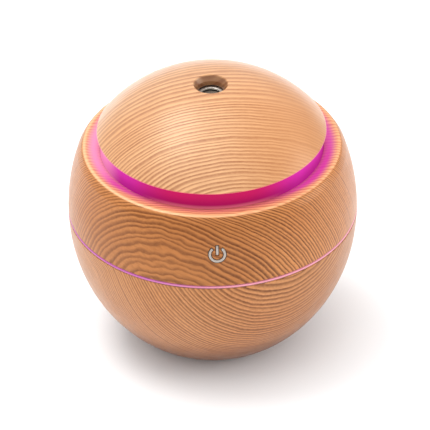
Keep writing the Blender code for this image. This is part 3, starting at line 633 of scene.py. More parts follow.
def ring_glow():
    """The light ring: lit from inside, redder at the front and deeper towards the bezel."""
    m = Material("frosted_glow", Roughness=0.5, Specular_IOR_Level=0.15)
    m.find_place()
    low = m.between(m.height, 75.5, 80.5, 1.0, 0.0)
    shine = shine_colour(m, colour(200, 8, 88), colour(220, 36, 172), colour(250, 146, 196))
    deep = shine_colour(m, colour(158, 8, 80), colour(186, 30, 140), colour(240, 130, 182))
    patch = m.noise(m.mm, 0.08, 2)
    foot = m.times(m.between(m.height, 75.5, 76.8, 0.9, 0.0), m.between(m.forward, 0.75, 0.97))
    glow = m.mix(foot, m.mix(low, shine, deep), colour(204, 92, 112))
    m.set("Emission Color", glow)
    m.set("Emission Strength", m.between(patch, 0.3, 0.7, 0.92, 1.0))
    m.set("Base Color", m.mix(patch, (0.02, 0.001, 0.01, 1), (0.03, 0.001, 0.012, 1)))
    return m.material


def seam_glow():
    """The thin ring in the seam: milky plastic that carries some of the light."""
    m = Material("frosted_seam", Roughness=0.4)
    patch = m.noise(m.mm, 0.05, 2)
    m.find_place()
    left = m.between(m.leftward, -0.2, 0.6)
    pale = m.mix(patch, colour(200, 132, 146), colour(210, 142, 156))
    m.set("Base Color", m.mix(left, pale, colour(178, 92, 156)))
    m.set("Emission Color", m.mix(left, colour(220, 110, 160), colour(190, 60, 180)))
    m.set("Emission Strength", 0.16)
    return m.material


def board_green():
    """Solder mask over copper: straight traces show as paler lines, with plated holes."""
    m = Material("board_green", Roughness=0.35)
    traces = m.add("TexBrick", {"Vector": m.mm, "Scale": 0.35, "Mortar Size": 0.05, "Mortar Smooth": 0.2},
                   offset=0.37)
    holes = m.add("TexVoronoi", {"Vector": m.mm, "Scale": 0.22}).outputs["Distance"]
    mask = m.mix(traces.outputs["Fac"], colour(12, 84, 46), colour(34, 120, 66))
    m.set("Base Color", m.mix(m.between(holes, 0.09, 0.11, 1.0, 0.0), mask, colour(200, 170, 90)))
    m.bump(traces.outputs["Fac"], 0.03)
    return m.material


def wick_fibre():
    """Bundled fibres along the wick."""
    m = Material("wick_fibre", Roughness=0.95)
    strands = m.noise(m.vector("MULTIPLY", m.mm, (5, 5, 0.15)), 1.0, 4)
    m.set("Base Color", m.mix(strands, colour(206, 200, 188), colour(244, 241, 234)))
    m.bump(strands, 0.12)
    return m.material


def meshed_steel():
    """Steel whose domed middle is pierced by rows of fine holes."""
    m = Material("meshed_steel", Metallic=1.0, Roughness=0.3)
    flat = m.vector("MULTIPLY", m.mm, (1, 1, 0))
    holes = m.add("TexVoronoi", {"Vector": flat, "Scale": 7.0, "Randomness": 0.0}).outputs["Distance"]
    dots = m.between(holes, 0.2, 0.3, 1.0, 0.0)
    middle = m.between(m.vector("LENGTH", flat), 1.5, 1.7, 1.0, 0.0)
    pierced = m.times(dots, middle)
    m.set("Base Color", m.mix(pierced, colour(176, 170, 162), colour(60, 56, 52)))
    m.bump(m.times(pierced, -1.0), 0.05)
    return m.material


# Display colour and roughness, then the grain and depth of the texture where they are not the usual ones
PLASTICS = {
    "cream": ("cream_plastic", (206, 188, 160), 0.5),
    "white": ("white_plastic", (196, 194, 188), 0.42),
    "rubber": ("rubber", (46, 42, 40), 0.8, 0.8, 0.03),
    "black": ("black_plastic", (30, 30, 32), 0.5),
    "led": ("led_white", (238, 234, 220), 0.3),
    "ceramic": ("ceramic", (214, 200, 170), 0.6, 1.0, 0.02),
    "red": ("red_lead", (186, 24, 22), 0.45),
    "lead": ("black_lead", (24, 24, 26), 0.45),
    "phosphor": ("led_phosphor", (236, 208, 92), 0.5),
    "laminate": ("board_laminate", (150, 140, 84), 0.7),
}
METALS = {
    "steel": ("steel", (190, 190, 194), 0.3),
    "chrome": ("chrome", (200, 194, 186), 0.3),
    "key": ("satin_silver", (180, 170, 162), 0.4),
    "aluminium": ("aluminium", (205, 205, 208), 0.32),
    "silver": ("silver_electrode", (214, 212, 206), 0.45),
    "copper": ("enamelled_copper", (176, 92, 48), 0.35),
    "gold": ("gold_contacts", (222, 184, 96), 0.3),
}


def make_materials():
    mats = {
        "wood_upper": upper_wood(),
        "wood_dome": dome_wood(),
        "wood_lower": lower_wood(),
        "glow": ring_glow(),
        "seam": seam_glow(),
        "silicone": moulded("silicone", colour(170, 172, 170), 0.6, Subsurface_Weight=0.1),
        "mesh": meshed_steel(),
        "board": board_green(),
        "wick": wick_fibre(),
    }
    for make, table in ((moulded, PLASTICS), (metal, METALS)):
        for key, (name, shade, *rest) in table.items():
            mats[key] = make(name, colour(*shade), *rest)
    return mats


# Pieces that show


def make_tank():
    """The tank: wood film outside, bare plastic inside, a rounded rim and three locking ribs."""
    rim, base, floor = top_of("lower_shell"), bottom_of("lower_shell"), 3.0
    outer = side(BALL_RADIUS, LOWER_DEPTH, base + 1.1, rim - 0.5, 64)
    inner = side(BALL_RADIUS - TANK_WALL, LOWER_DEPTH - TANK_WALL, floor, BORE_BOTTOM - 1, 40)
    foot_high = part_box("foot_ring")[1]
    groove_out = foot_high.x / MM + 0.3
    groove_in = 13.5
    groove_top = foot_high.z / MM + 0.3
    wide = outer[-1][0]
    outline = rounded([
        (0, base, 0), (groove_in, base, 0.2), (groove_in, groove_top, 0),
        (groove_out, groove_top, 0), (groove_out, base, 0.2), (outer[0][0] - 1.2, base, 0.8),
        *plain(outer), (wide + 0.01, rim, 0.45), (BORE_RADIUS, rim, 0.4),
        (BORE_RADIUS, BORE_BOTTOM, 0.4), *plain(reversed(inner)), (0, floor, 0),
    ])
    tank = turned("tank_bowl", outline, "wood_lower cream", "tank", ["lower_shell"], "wood_look", SIDES)
    ribs, rib, rib_width = bmesh.new(), section(44.6, BORE_RADIUS + 1, 44.2, 45.9, 0.3), 70
    for angle in LOCK_ANGLES:
        add_arc_block(ribs, rib, angle + 60, rib_width, 48)
    join(tank, ribs, 1)
    paint(tank, lambda radius, height: 0 if in_skin(radius, height, LOWER_DEPTH) or height < 1.0 else 1)


def make_foot():
    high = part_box("foot_ring")[1]
    outline = section(13.8, high.x / MM, 0, high.z / MM, 0.35)
    turned("foot_pad", outline, "rubber", "tank", ["foot_ring"], "rubber", SIDES)


def make_tank_seal():
    bottom, top = span("tank_seal")
    ring_radius, thickness = 45.42, 0.87
    ring = arc((ring_radius, (top + bottom) / 2), thickness, 0, 360, 20)[:-1]
    turned("seal_ring", ring, "silicone", "seal_carrier", ["tank_seal"], "silicone", SIDES)


def key_frame():
    """The key's frame on the shell: X to the right, Y up the slope and Z outward."""
    radius = BALL_RADIUS * sqrt(1 - ((KEY_HEIGHT - EQUATOR) / UPPER_DEPTH) ** 2)
    slope = atan2((KEY_HEIGHT - EQUATOR) / UPPER_DEPTH**2, radius / BALL_RADIUS**2)
    turn = Matrix.Rotation(radians(KEY_AZIMUTH), 4, "Z")
    tilt = Matrix.Rotation(pi / 2 - slope, 4, "X")
    return turn @ moved(0, -radius, KEY_HEIGHT) @ tilt


def key_shapes(margin, bottom, top, ease):
    """The open circle and the bar of the key's symbol, as two meshes in the row's frame."""
    circle, bar = bmesh.new(), bmesh.new()
    inner, outer = KEY_RADIUS - KEY_STROKE - margin, KEY_RADIUS + margin
    opening = KEY_OPENING - degrees(2 * margin / KEY_RADIUS)
    add_arc_block(circle, section(inner, outer, bottom, top, ease), -90, 360 - opening, 64)
    length = KEY_BAR_TOP - KEY_BAR_BOTTOM + 2 * margin
    size = (KEY_STROKE + 2 * margin, length, top - bottom)
    place = moved(0, (KEY_BAR_TOP + KEY_BAR_BOTTOM) / 2, (top + bottom) / 2)
    add_box(bar, size, place, ease)
    for bm in (circle, bar):
        bmesh.ops.transform(bm, matrix=key_frame(), verts=bm.verts)
    return circle, bar


def make_key():
    circle, bar = key_shapes(-0.06, -KEY_DEPTH, 0.04, 0.14)
    mesh_piece("key_circle", circle, "key", "head", ["power_icon_ring"], "chrome")
    mesh_piece("key_stroke", bar, "key", "head", ["power_icon_bar"], "chrome")


def make_head_shell():
    """The head's side and bezel: a rounded edge, the inlet hole, the key's pockets and screw bosses."""
    rim = bottom_of("upper_shell")
    shoulder, edge_corner, film_from = 73.6, (44.4, 76.45, 1.9), 75.2
    outer = side(BALL_RADIUS, UPPER_DEPTH, rim + 0.35, shoulder, 60)
    bezel_bottom = BEZEL_HEIGHT - SHELL_WALL
    inner_depth = UPPER_DEPTH - SHELL_WALL
    inner = side(BALL_RADIUS - SHELL_WALL, inner_depth, rim, bezel_bottom - 1.3, 30)
    outline = rounded([
        (outer[0][0] - 0.02, rim, 0.3), *plain(outer), edge_corner,
        (BEZEL_INNER, BEZEL_HEIGHT, 0.25), (BEZEL_INNER, bezel_bottom, 0.2),
        (EDGE_RADIUS - 1, bezel_bottom + 0.3, 0.5), *plain(reversed(inner)),
    ], 6)
    shell = turned("head_shell", outline, "wood_upper cream", "head", ["upper_shell"], "wood_look", SIDES)

    def rule(radius, height):
        return 0 if in_skin(radius, height, UPPER_DEPTH) or height > film_from else 1

    paint(shell, rule)
    web_size, web_radius, web_height = (8.2, 2.0, 8.6), 44.1, 58.2
    boss_radius, boss_bottom, boss_top = 3.0, 53.4, 63.0
    hole_bottom, hole_top = 50.4, 62.4
    webs, bosses, holes = bmesh.new(), bmesh.new(), bmesh.new()
    for angle in LOCK_ANGLES:
        add_box(webs, web_size, about_z(angle, web_radius, 0, web_height))
        place = about_z(angle, BASE_SCREW_CIRCLE)
        add_cylinder(bosses, boss_radius, boss_bottom, boss_top, place)
        add_cylinder(holes, PLATE_HOLE, hole_bottom, hole_top, place)
    join(shell, webs, 1)
    join(shell, bosses, 1)
    carve(shell, holes, 1)
    inlet, inlet_size, inlet_middle = bmesh.new(), (11.4, 8, 7.4), 48.4
    bmesh.ops.create_cube(inlet, size=1, matrix=Matrix.Diagonal((*inlet_size, 1)))
    ease_edges(inlet, [e for e in inlet.edges if runs_along(e, 1)], 1.8, 8)
    bmesh.ops.translate(inlet, vec=(0, inlet_middle, USB_HEIGHT), verts=inlet.verts)
    carve(shell, inlet, 1)
    for pocket in key_shapes(KEY_GAP, -KEY_DEPTH - 0.3, 1.0, 0):
        carve(shell, pocket)


def make_dome():
    """The dome: wood film outside and down the mist hole, two walls that clamp the atomizer's cup."""
    throat = LIP_RADIUS - LIP_ROUND
    lip_top = dome_height(LIP_RADIUS)
    spigot_inner, spigot_outer, spigot_bottom = 33.6, 35.6, 78.2
    edge, edge_height = 39.55, 81.85
    cup_wall, cup_wall_outer, throat_wall = 8.3, 9.8, 6.4
    outline = rounded([
        (spigot_outer, dome_height(spigot_outer, DOME_WALL), 0.3),
        (spigot_outer, spigot_bottom, 0.3), (spigot_inner, spigot_bottom, 0.3),
        *plain(reversed(cap(cup_wall_outer, spigot_inner, DOME_WALL, 40))),
        (cup_wall_outer, COLLAR_BOTTOM, 0.2), (cup_wall, COLLAR_BOTTOM, 0.2),
        (cup_wall, dome_height(cup_wall, DOME_WALL), 0),
        (throat_wall, dome_height(throat_wall, DOME_WALL), 0), (throat_wall, COLLAR_BOTTOM, 0.2),
        (throat - 0.2, COLLAR_BOTTOM, 0.2), (throat + 0.1, lip_top - 2.0, 0.6),
        (LIP_RADIUS, lip_top, 0.3), *plain(cap(LIP_RADIUS + 0.6, edge - 0.25, 0, 80)),
        (edge, edge_height + 0.1, 0.15), (edge - 0.4, edge_height, 0.1), (37.0, edge_height, 0.1),
    ])
    dome = turned("dome_shell", outline, "wood_dome cream", "head", ["dome_cover"], "wood_look", SIDES)

    def rule(radius, height):
        out = Vector((radius, height - DOME_CENTRE)).length
        return 0 if out > DOME_RADIUS - 0.4 or radius < 6.1 or radius > 38.9 else 1

    paint(dome, rule)


def make_light_ring():
    wall, inner, flange, flange_top = 38.2, 36.2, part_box("light_ring")[1].x / MM, 73.0
    bottom, top = span("light_ring")
    outline = rounded([
        (inner, bottom, 0.2), (flange, bottom, 0.2), (flange, flange_top, 0.2),
        (wall, flange_top, 0.2), (wall, top, 0.3), (inner, top, 0.3),
    ])
    turned("glow_ring", outline, "glow", "head", ["light_ring"], "frosted_glow", SIDES)


def make_seam_ring():
    inner, wall, outer, lip = 46.6, 47.4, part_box("seam_light_ring")[1].x / MM, 0.7
    bottom, top = span("seam_light_ring")
    outline = rounded([
        (inner, bottom, 0.1), (outer, bottom, 0.15), (outer, bottom + lip, 0.15),
        (wall, bottom + lip, 0.1), (wall, top, 0.1), (inner, top, 0.1),
    ])
    turned("glow_seam", outline, "seam", "head", ["seam_light_ring"], "frosted_glow", SIDES)


def make_head_base():
    """The plate under the head: skirt with three lugs, a socket with two ledges, posts and screw holes."""
    plate_top, plate_bottom, plate_radius = 53.0, 51.2, 46.2
    skirt_outer, skirt_inner, skirt_bottom = 44.2, 42.4, bottom_of("head_base")
    outline = rounded([
        (SHAFT_RADIUS, plate_top, 0.3), (plate_radius, plate_top, 0.3), (plate_radius, 49.5, 0.3),
        (skirt_outer, 49.5, 0.15), (skirt_outer, 47.0, 0.15), (45.7, 46.9, 0.12),
        (45.7, 46.6, 0.12), (skirt_outer, 46.2, 0.15), (skirt_outer, skirt_bottom, 0.5),
        (skirt_inner, skirt_bottom, 0.5), (skirt_inner, plate_bottom, 0.8),
        (SOCKET_OUTER, plate_bottom, 0.8), (SOCKET_OUTER, SOCKET_BOTTOM, 0.3),
        (SOCKET_INNER, SOCKET_BOTTOM, 0.3), (SOCKET_INNER, GASKET_LAND, 0.15),
        (SHAFT_RADIUS, GASKET_LAND, 0.3),
    ])
    plate = turned("head_plate", outline, "white", "head", ["head_base"], "white_plastic", SIDES)
    lugs, ledges, posts, holes = bmesh.new(), bmesh.new(), bmesh.new(), bmesh.new()
    lug = section(skirt_outer - 0.9, LUG_OUTER, LUG_BOTTOM, LUG_TOP, 0.35)
    for angle in LOCK_ANGLES:
        add_arc_block(lugs, lug, angle, LUG_WIDTH, 32)
        place = about_z(angle, BASE_SCREW_CIRCLE)
        add_cylinder(holes, PLATE_HOLE, plate_bottom - 1, plate_top + 1, place)
    middle = (SOCKET_INNER + SOCKET_OUTER) / 2
    ledge, ledge_width = section(9.2, middle, 44.4, 45.4, 0.2), 60
    for angle in (0, 180):
        add_arc_block(ledges, ledge, angle, ledge_width, 32)
    post_radius, hole_foot = 2.8, 54.2
    for angle in POST_ANGLES:
        place = about_z(angle, POST_CIRCLE)
        add_cylinder(posts, post_radius, plate_top - 1, BOARD_BOTTOM - 0.3, place)
        add_cylinder(holes, POST_HOLE, hole_foot, BOARD_BOTTOM + 1, place)
    for added in (lugs, ledges, posts):
        join(plate, added)
    carve(plate, holes)


def make_tower():
    """The tube on the plate that carries the atomizer's cup, with a notch for its leads."""
    foot, wall, cup_floor, cup_wall = 53.3, SHAFT_RADIUS + 1.8, 93.9, 1.7
    cup_inner, cup_outer, cup_top = 10.2, 11.4, top_of("atomizer_tower")
    outline = rounded([
        (SHAFT_RADIUS, foot, 0.2), (10.6, foot, 0.2), (10.6, foot + 1.5, 0.4),
        (wall, foot + 1.5, 0.6), (wall, cup_floor - 2 * cup_wall, 0.8),
        (cup_outer, cup_floor - cup_wall, 0.6), (cup_outer, cup_top, 0.3),
        (cup_inner, cup_top, 0.2), (cup_inner, cup_floor, 0.15), (GUIDE_RADIUS, cup_floor, 0.2),
        (GUIDE_RADIUS, cup_floor - cup_wall, 0.3),
        (SHAFT_RADIUS, cup_floor - 2 * cup_wall - 0.3, 0.4),
    ])
    tower = turned("mist_tower", outline, "white", "head", ["atomizer_tower"], "white_plastic")
    notch, notch_size, notch_middle = bmesh.new(), (5.6, 3.0, 3.2), 11.2
    add_box(notch, notch_size, moved(0, notch_middle, cup_top - 0.8), 0.4)
    carve(tower, notch)


def make_atomizer():
    """The bright ring at the mist hole's foot, the meshed disc, its ceramic ring and its grommet."""
    low, high = span("disc_trim_ring")
    trim = rounded([(3.3, low, 0.1), (7.3, low, 0.1), (7.3, high, 0.15), (3.3, high, 0.25)])
    turned("disc_bezel", trim, "chrome", "head", ["disc_trim_ring"], "chrome")
    low, thickness, radius, mesh_radius, rise = bottom_of("atomizer_disc"), 0.3, 8.7, 1.6, 0.2
    crown = [(mesh_radius * k / 8, low + rise * (1 - (k / 8) ** 2)) for k in range(9)]
    disc = [
        *crown, (radius, low), (radius, low + thickness),
        *[(r, z + thickness) for r, z in reversed(crown)],
    ]
    turned("mist_disc", disc, "mesh", "head", ["atomizer_disc"], "steel")
    low, high = span("piezo_ring")
    ring = turned(
        "ceramic_ring", section(GUIDE_RADIUS, 7.2, low, high, 0.08),
        "ceramic silver", "head", ["piezo_ring"], "ceramic",
    )
    paint(ring, lambda radius, height: 1 if 5.0 < radius < 6.8 else 0)
    low, high = span("disc_grommet")
    inner, outer, groove = 7.6, 9.9, 9.0
    grommet = rounded([
        (inner, low, 0.3), (outer, low, 0.4), (outer, high, 0.4), (inner, high, 0.3),
        (inner, 96.4, 0.1), (groove, 96.4, 0.1), (groove, 95.5, 0.1), (inner, 95.5, 0.1),
    ])
    turned("mist_grommet", grommet, "silicone", "head", ["disc_grommet"], "silicone")


def wire(name, points, radius, material, body, nodes, slot, smooth_route=True, sides=6):
    """A round wire along a route of points in millimetres, with closed ends."""
    curve = bpy.data.curves.new(name, "CURVE")
    curve.dimensions = "3D"
    curve.bevel_depth = radius * MM
    curve.bevel_resolution = sides
    curve.resolution_u = 12
    curve.use_fill_caps = True
    if smooth_route:
        spline = curve.splines.new("BEZIER")
        spline.bezier_points.add(len(points) - 1)
        for knot, point in zip(spline.bezier_points, points):
            knot.co = Vector(point) * MM
            knot.handle_left_type = knot.handle_right_type = "AUTO"
    else:
        spline = curve.splines.new("POLY")
        spline.points.add(len(points) - 1)
        for knot, point in zip(spline.points, points):
            knot.co = (*(Vector(point) * MM), 1)
    route = linked(name, curve)
    mesh = evaluated_mesh(route)
    bpy.data.objects.remove(route)
    mesh.materials.clear()
    return finished(name, mesh, material, body, nodes, slot, WIRE_SHARP_ANGLE)


def make_leads():
    route = [(11.0, 96.0), (12.6, 94.4), (11.4, 90.0), (10.4, 80.0), (11.0, 68.0), (14.5, 60.5)]
    for name, node, x, material, slot in (
        ("red_wire", "piezo_lead_red", 1.4, "red", "red_lead"),
        ("black_wire", "piezo_lead_black", -1.4, "lead", "black_lead"),
    ):
        points = [(x, y, z) for y, z in route]
        wire(name, points, 0.5, material, "head", [node], slot)


def coil_route(radius, wire, turns, length):
    """Points along a compression spring that stands on its origin, with closed end turns."""
    steps = 28
    count = turns * steps
    points = []
    for i in range(count + 1):
        turn = i / steps
        share = turn / turns
        eased = share - 0.045 * sin(2 * pi * share)
        angle = 2 * pi * turn
        height = wire / 2 + (length - wire) * eased
        points.append(Vector((radius * cos(angle), radius * sin(angle), height)))
    return points


def make_springs():
    wick_wire, touch_wire, touch_length = 0.7, 0.6, 11.6
    route = coil_route(3.1, wick_wire, 6, SPRING_LENGTH)
    wick_coil = [point + Vector((0, 0, SPRING_FOOT)) for point in route]
    spring = wire(
        "wick_coil", wick_coil, wick_wire / 2, "steel", "holder", ["wick_spring"], "steel", False, 3
    )
    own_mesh(spring)
    lay = moved(0, -33.8, KEY_HEIGHT + 0.4) @ Matrix.Rotation(pi / 2, 4, "X")
    touch_coil = [lay @ point for point in coil_route(3.0, touch_wire, 5, touch_length)]
    wire("touch_coil", touch_coil, touch_wire / 2, "steel", "head", ["touch_spring"], "steel", False, 3)


def make_board():
    """The ring-shaped main board with its tab, and the small upright board behind the key."""
    top = BOARD_BOTTOM + BOARD_THICKNESS
    inner, outer, tab_width, tab_length, tab_middle = 12.0, 34.0, 14.0, 21.0, 34.5
    ring = section(inner, outer, BOARD_BOTTOM, top, 0.08)
    board = turned("circuit_board", ring, "board laminate", "head", ["main_board"], "board_green", 128)
    tab, holes = bmesh.new(), bmesh.new()
    middle = moved(0, tab_middle, BOARD_BOTTOM + BOARD_THICKNESS / 2)
    add_box(tab, (tab_width, tab_length, BOARD_THICKNESS), middle)
    join(board, tab)
    for angle in POST_ANGLES:
        add_cylinder(holes, POST_HOLE, BOARD_BOTTOM - 1, top + 1, about_z(angle, POST_CIRCLE))
    carve(board, holes, 1)
    for face in board.data.polygons:
        if abs(face.normal.z) < 0.7:
            face.material_index = 1
    upright = bmesh.new()
    add_box(upright, size_of("touch_board"), middle_of("touch_board"), 0.1)
    mesh_piece("key_board", upright, "board", "head", ["touch_board"], "board_green")


def make_leds():
    """Six white lamps: a package with a round cup of phosphor and bright contacts at both ends."""
    side, height = 5.0, 1.6
    for i, angle in enumerate(LED_ANGLES, 1):
        place = about_z(angle, LED_CIRCLE, 0, PARTS_FOOT + height / 2)
        package, cup, contacts = bmesh.new(), bmesh.new(), bmesh.new()
        add_box(package, (side - 0.3, side, height), place, 0.2)
        name = f"lamp_{i}"
        lamp = mesh_piece(name, package, "led phosphor steel", "head", [f"led_{i}"], "led_white")
        add_cylinder(cup, 1.9, height / 2 - 0.35, height, place)
        carve(lamp, cup, 1)
        for end in (-1, 1):
            for row in (-1.5, 0, 1.5):
                shift = moved(end * (side - 0.7) / 2, row, -height / 2 + 0.35)
                add_box(contacts, (0.7, 0.9, 0.7), place @ shift, 0.06, 1)
        join(lamp, contacts, 2)


# The shoulder, shin and toe of a chip's leg: inset from the side, height of the middle, length and height
LEG_PARTS = ((0.75, 0.75, 0.6, 0.18), (0.5, 0.45, 0.18, 0.75), (0.3, 0.1, 0.58, 0.18))


def make_chip():
    """The driver: a black package with bent legs down both sides and a dimple at its first pin."""
    size = size_of("driver_chip")
    foot = moved(*CHIP_AT, bottom_of("driver_chip"))
    package, dimple, legs = bmesh.new(), bmesh.new(), bmesh.new()
    body_height = size.z - 0.15
    lift = foot @ moved(0, 0, size.z - body_height / 2)
    add_box(package, (size.x, size.y - 1.6, body_height), lift, 0.15)
    chip = mesh_piece("driver_package", package, "black steel", "head", ["driver_chip"], "black_plastic")
    pin_one = foot @ moved(-size.x / 2 + 1.0, 1.0 - (size.y - 1.6) / 2, 0)
    add_cylinder(dimple, 0.35, size.z - 0.1, size.z + 1, pin_one, 24)
    carve(chip, dimple)
    for end in (-1, 1):
        for column in (-1.905, -0.635, 0.635, 1.905):
            for inset, rise, length, height in LEG_PARTS:
                place = foot @ moved(column, end * (size.y / 2 - inset), rise)
                add_box(legs, (0.42, length, height), place, 0.04, 1)
    join(chip, legs, 1)


def make_round_parts():
    """The power inductor with its wound core, and the capacitor with its crimped can."""
    place, radius, height = round_part("power_inductor")
    core = rounded([
        (0, 0, 0), (radius, 0, 0.6), (radius, 1.1, 0.15), (radius - 0.5, 1.2, 0.1),
        *plain([(radius - 0.5 + 0.12 * (k % 2), 1.2 + 0.2 * k) for k in range(1, 13)]),
        (radius - 0.5, height - 1.2, 0.1), (radius, height - 1.1, 0.15), (radius, height, 0.6),
        (radius - 1.2, height, 0.1), (radius - 1.3, height - 0.2, 0.1), (0, height - 0.2, 0),
    ])
    inductor = turned("drum_inductor", core, "black copper", "head", ["power_inductor"], "black_plastic")
    paint(inductor, lambda r, z: 1 if radius - 0.6 < r < radius - 0.2 and 1.3 < z < height - 1.3 else 0)
    inductor.data.transform(place)
    place, radius, height = round_part("capacitor")
    can = rounded([
        (0, 0, 0), (radius, 0, 0.1), (radius, 0.7, 0.1), (radius - 0.25, 0.75, 0),
        (radius, 0.8, 0.1), (radius, 1.0, 0.2), (radius - 0.35, 1.35, 0.25), (radius, 1.7, 0.2),
        (radius, height, 0.45), (radius - 0.8, height, 0.05), (radius - 0.85, height - 0.12, 0.05),
        (0, height - 0.12, 0),
    ])
    capacitor = turned("crimped_can", can, "aluminium black", "head", ["capacitor"], "aluminium")
    for face in capacitor.data.polygons:
        centre = face.center / MM
        marked = centre.z > height - 0.15 and centre.x < -radius * 0.35
        face.material_index = 1 if centre.z < 0.75 or marked else 0
    vents = bmesh.new()
    for angle in (0, 60, 120):
        add_box(vents, (radius * 1.1, 0.12, 0.1), about_z(angle, 0, 0, height - 0.12))
    carve(capacitor, vents, crossing=True)
    capacitor.data.transform(place)


def make_usb():
    """The micro-USB socket: a folded steel shell, its keyed mouth, and a tongue with five contacts."""
    shell, mouth, tongue, contacts = bmesh.new(), bmesh.new(), bmesh.new(), bmesh.new()
    add_box(shell, size_of("usb_socket"), middle_of("usb_socket"), 0.3)
    socket = mesh_piece("usb_shell", shell, "steel black gold", "head", ["usb_socket"], "steel")
    front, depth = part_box("usb_socket")[1].y / MM, 3.2
    corners = [(-3.4, 0.9), (3.4, 0.9), (3.4, -0.1), (2.6, -0.9), (-2.6, -0.9), (-3.4, -0.1)]
    rows = []
    for y in (front - depth, front + 1):
        rows.append([mouth.verts.new((x, y, USB_HEIGHT + z)) for x, z in corners])
    for k in range(len(corners)):
        n = (k + 1) % len(corners)
        mouth.faces.new((rows[0][k], rows[0][n], rows[1][n], rows[1][k]))
    mouth.faces.new(rows[0])
    mouth.faces.new(reversed(rows[1]))
    ease_edges(mouth, [e for e in mouth.edges if runs_along(e, 1)], 0.25, 3)
    carve(socket, mouth)
    place = moved(0, front - 1.9, USB_HEIGHT + 0.25)
    add_box(tongue, (4.4, 2.8, 0.55), place, 0.12, 2)
    join(socket, tongue, 1)
    for column in (-1.3, -0.65, 0, 0.65, 1.3):
        add_box(contacts, (0.28, 2.2, 0.1), place @ moved(column, 0.2, -0.28))
    join(socket, contacts, 2)


def screw_outline(head_radius, head_height, shank_radius, shank_length):
    """A pan-head screw, head down at its origin and shank up, with ridges for its thread."""
    pitch = 0.7
    start, end = 0.4, shank_length - 1.2
    thread = []
    for k in range(int((end - start) / pitch)):
        height = start + k * pitch
        thread += [(shank_radius - 0.25, height), (shank_radius, height + pitch / 2)]
    return rounded([
        (0, -head_height, 0), (head_radius, -head_height, 0.9), (head_radius, 0, 0.15),
        (shank_radius - 0.25, 0, 0.1), *plain(thread), (shank_radius - 0.25, end + 0.1, 0),
        (0, shank_length, 0),
    ], 6)


def make_screws():
    """Pan-head screws with a cross recess, three through the plate and three through the board."""
    kinds = (
        ("plate_screw", "base_screw", LOCK_ANGLES, BASE_SCREW_CIRCLE, (2.4, 1.3, 1.2, 10.0), 0, 50.9),
        ("post_screw", "board_screw", POST_ANGLES, POST_CIRCLE, (2.2, 1.3, 1.0, 5.2), pi, 59.9),
    )
    for name, node, angles, circle, size, flip, height in kinds:
        for i, angle in enumerate(angles, 1):
            bm, cross = bmesh.new(), bmesh.new()
            add_turned(bm, screw_outline(*size), 48)
            screw = mesh_piece(f"{name}_{i}", bm, "steel", "head", [f"{node}_{i}"], "steel")
            for turn in (25, 115):
                place = about_z(turn, 0, 0, -size[1])
                add_box(cross, (size[0] * 1.15, 0.55, 1.5), place, 0.08, 2)
            carve(screw, cross, crossing=True)
            place = about_z(angle, circle, 0, height) @ Matrix.Rotation(flip, 4, "X")
            place.translation *= MM
            screw.data.transform(place)


def make_holder():
    """The slotted tube in the tank, with its flange, two ears and gasket."""
    bottom, top = span("wick_holder")
    inner, outer, floor = 4.6, 5.7, 7.5
    flange, flange_bottom, flange_top = 8.9, 45.7, 47.2
    outline = rounded([
        (0, bottom, 0), (outer, bottom, 0.8), (outer, flange_bottom, 0.5),
        (flange, flange_bottom, 0.25), (flange, flange_top, 0.25), (outer, flange_top, 0.15),
        (outer, top, 0.3), (inner, top, 0.3), (inner, floor, 0.2), (0, floor, 0),
    ])
    holder = turned("wick_tube", outline, "white", "holder", ["wick_holder"], "white_plastic")
    ears, slots = bmesh.new(), bmesh.new()
    for angle in (0, 180):
        ear = section(flange - 1, 10.1, flange_bottom + 0.1, flange_top - 0.1, 0.25)
        add_arc_block(ears, ear, angle, 40, 24)
    width, slot_bottom, slot_top = 3.0, 12.0, 40.0
    for angle in (45, 135, 225, 315):
        size = (4, width, slot_top - slot_bottom)
        made = bmesh.ops.create_cube(slots, size=1, matrix=Matrix.Diagonal((*size, 1)))["verts"]
        across = [e for e in {e for v in made for e in v.link_edges} if runs_along(e, 0)]
        ends = ease_edges(slots, across, width / 2 - 0.05, 8)
        made = {v for f in ends["faces"] for v in f.verts} | {v for v in made if v.is_valid}
        place = about_z(angle, outer, 0, (slot_bottom + slot_top) / 2)
        bmesh.ops.transform(slots, matrix=place, verts=list(made))
    join(holder, ears)
    carve(holder, slots)
    low, high = span("holder_gasket")
    gasket = section(outer + 0.3, 9.8, low, high, 0.4)
    turned("socket_gasket", gasket, "silicone", "holder", ["holder_gasket"], "silicone")


def make_wick():
    low, high = span("wick")
    outline = rounded([(0, low, 0), (4.0, low, 0.8), (4.0, high, 0.8), (0, high, 0)])
    turned("cotton_wick", outline, "wick", "wick_slide", ["wick"], "wick_fibre")


# Floor, light and camera


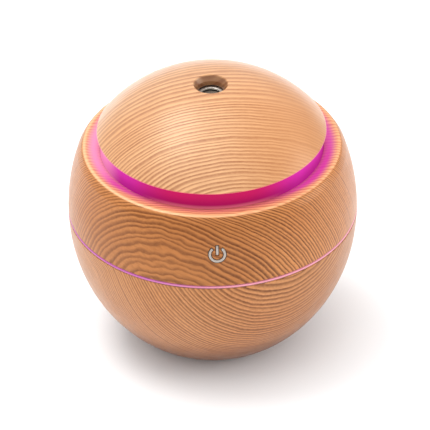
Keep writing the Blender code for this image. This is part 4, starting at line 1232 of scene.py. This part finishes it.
def make_stage():
    """A pale floor under soft light, for the camera that make_camera sets at the photograph's angle."""
    bm = bmesh.new()
    bmesh.ops.create_circle(bm, cap_ends=True, segments=64, radius=4000)
    floor = mesh_piece("floor", bm, "", None, (), "")
    m = Material("floor_white", Roughness=0.9)
    m.set("Base Color", m.mix(m.noise(m.mm, 0.002), (0.9, 0.915, 0.93, 1), (0.91, 0.925, 0.94, 1)))
    floor.data.materials.append(m.material)
    add_area("key_light", (-560, 240, 1470), (560, 1100), 9)
    add_area("top_light", (-400, -100, 1470), (1500, 1500), 7)
    add_area("low_light", (1500, 0, 450), (700, 1000), 7)
    world = bpy.data.worlds.new("studio")
    bpy.context.scene.world = world
    world.use_nodes = True
    nodes, links = world.node_tree.nodes, world.node_tree.links
    direction = nodes.new("ShaderNodeTexCoord").outputs["Generated"]
    parts = nodes.new("ShaderNodeSeparateXYZ")
    rise = nodes.new("ShaderNodeMapRange")
    rise.inputs["From Max"].default_value = 0.5
    rise.inputs["To Min"].default_value = 0.5
    rise.inputs["To Max"].default_value = 1.2
    links.new(direction, parts.inputs["Vector"])
    links.new(parts.outputs["Z"], rise.inputs["Value"])
    links.new(rise.outputs["Result"], nodes["Background"].inputs["Strength"])
    nodes["Background"].inputs["Color"].default_value = (1.0, 1.0, 1.0, 1.0)
    bpy.context.scene.view_settings.view_transform = "Standard"


def add_area(name, place, size, watts):
    """A softbox that faces the object's middle, with its long side from front to back."""
    light = bpy.data.lights.new(name, "AREA")
    light.shape = "RECTANGLE"
    light.size, light.size_y = size[0] * MM, size[1] * MM
    light.energy = watts
    lamp = linked(name, light)
    back = (Vector(place) - Vector((0, 0, EQUATOR))).normalized()
    right = Vector((0, 1, 0)).cross(back).normalized()
    facing = Matrix((right, back.cross(right), back)).transposed().to_4x4()
    lamp.matrix_world = Matrix.Translation(Vector(place) * MM) @ facing


def make_camera():
    data = bpy.data.cameras.new("camera")
    data.lens = CAMERA_LENS
    data.shift_x, data.shift_y = CAMERA_SHIFT
    data.clip_end = 20
    camera = linked("camera", data)
    rise = radians(CAMERA_ELEVATION)
    place = Vector((0, -CAMERA_DISTANCE * cos(rise), EQUATOR + CAMERA_DISTANCE * sin(rise))) * MM
    tilt = Matrix.Rotation(pi / 2 - rise, 4, "X")
    roll = Matrix.Rotation(radians(CAMERA_ROLL), 4, "Z")
    camera.matrix_world = Matrix.Translation(place) @ tilt @ roll
    bpy.context.scene.camera = camera


make_camera()
make_stage()
materials_by_name = make_materials()
for make_pieces in (
    make_tank, make_foot, make_tank_seal, make_head_shell, make_dome, make_light_ring,
    make_seam_ring, make_key, make_head_base, make_tower, make_atomizer, make_leads, make_springs,
    make_board, make_leds, make_chip, make_round_parts, make_usb, make_screws, make_holder,
    make_wick,
):
    make_pieces()
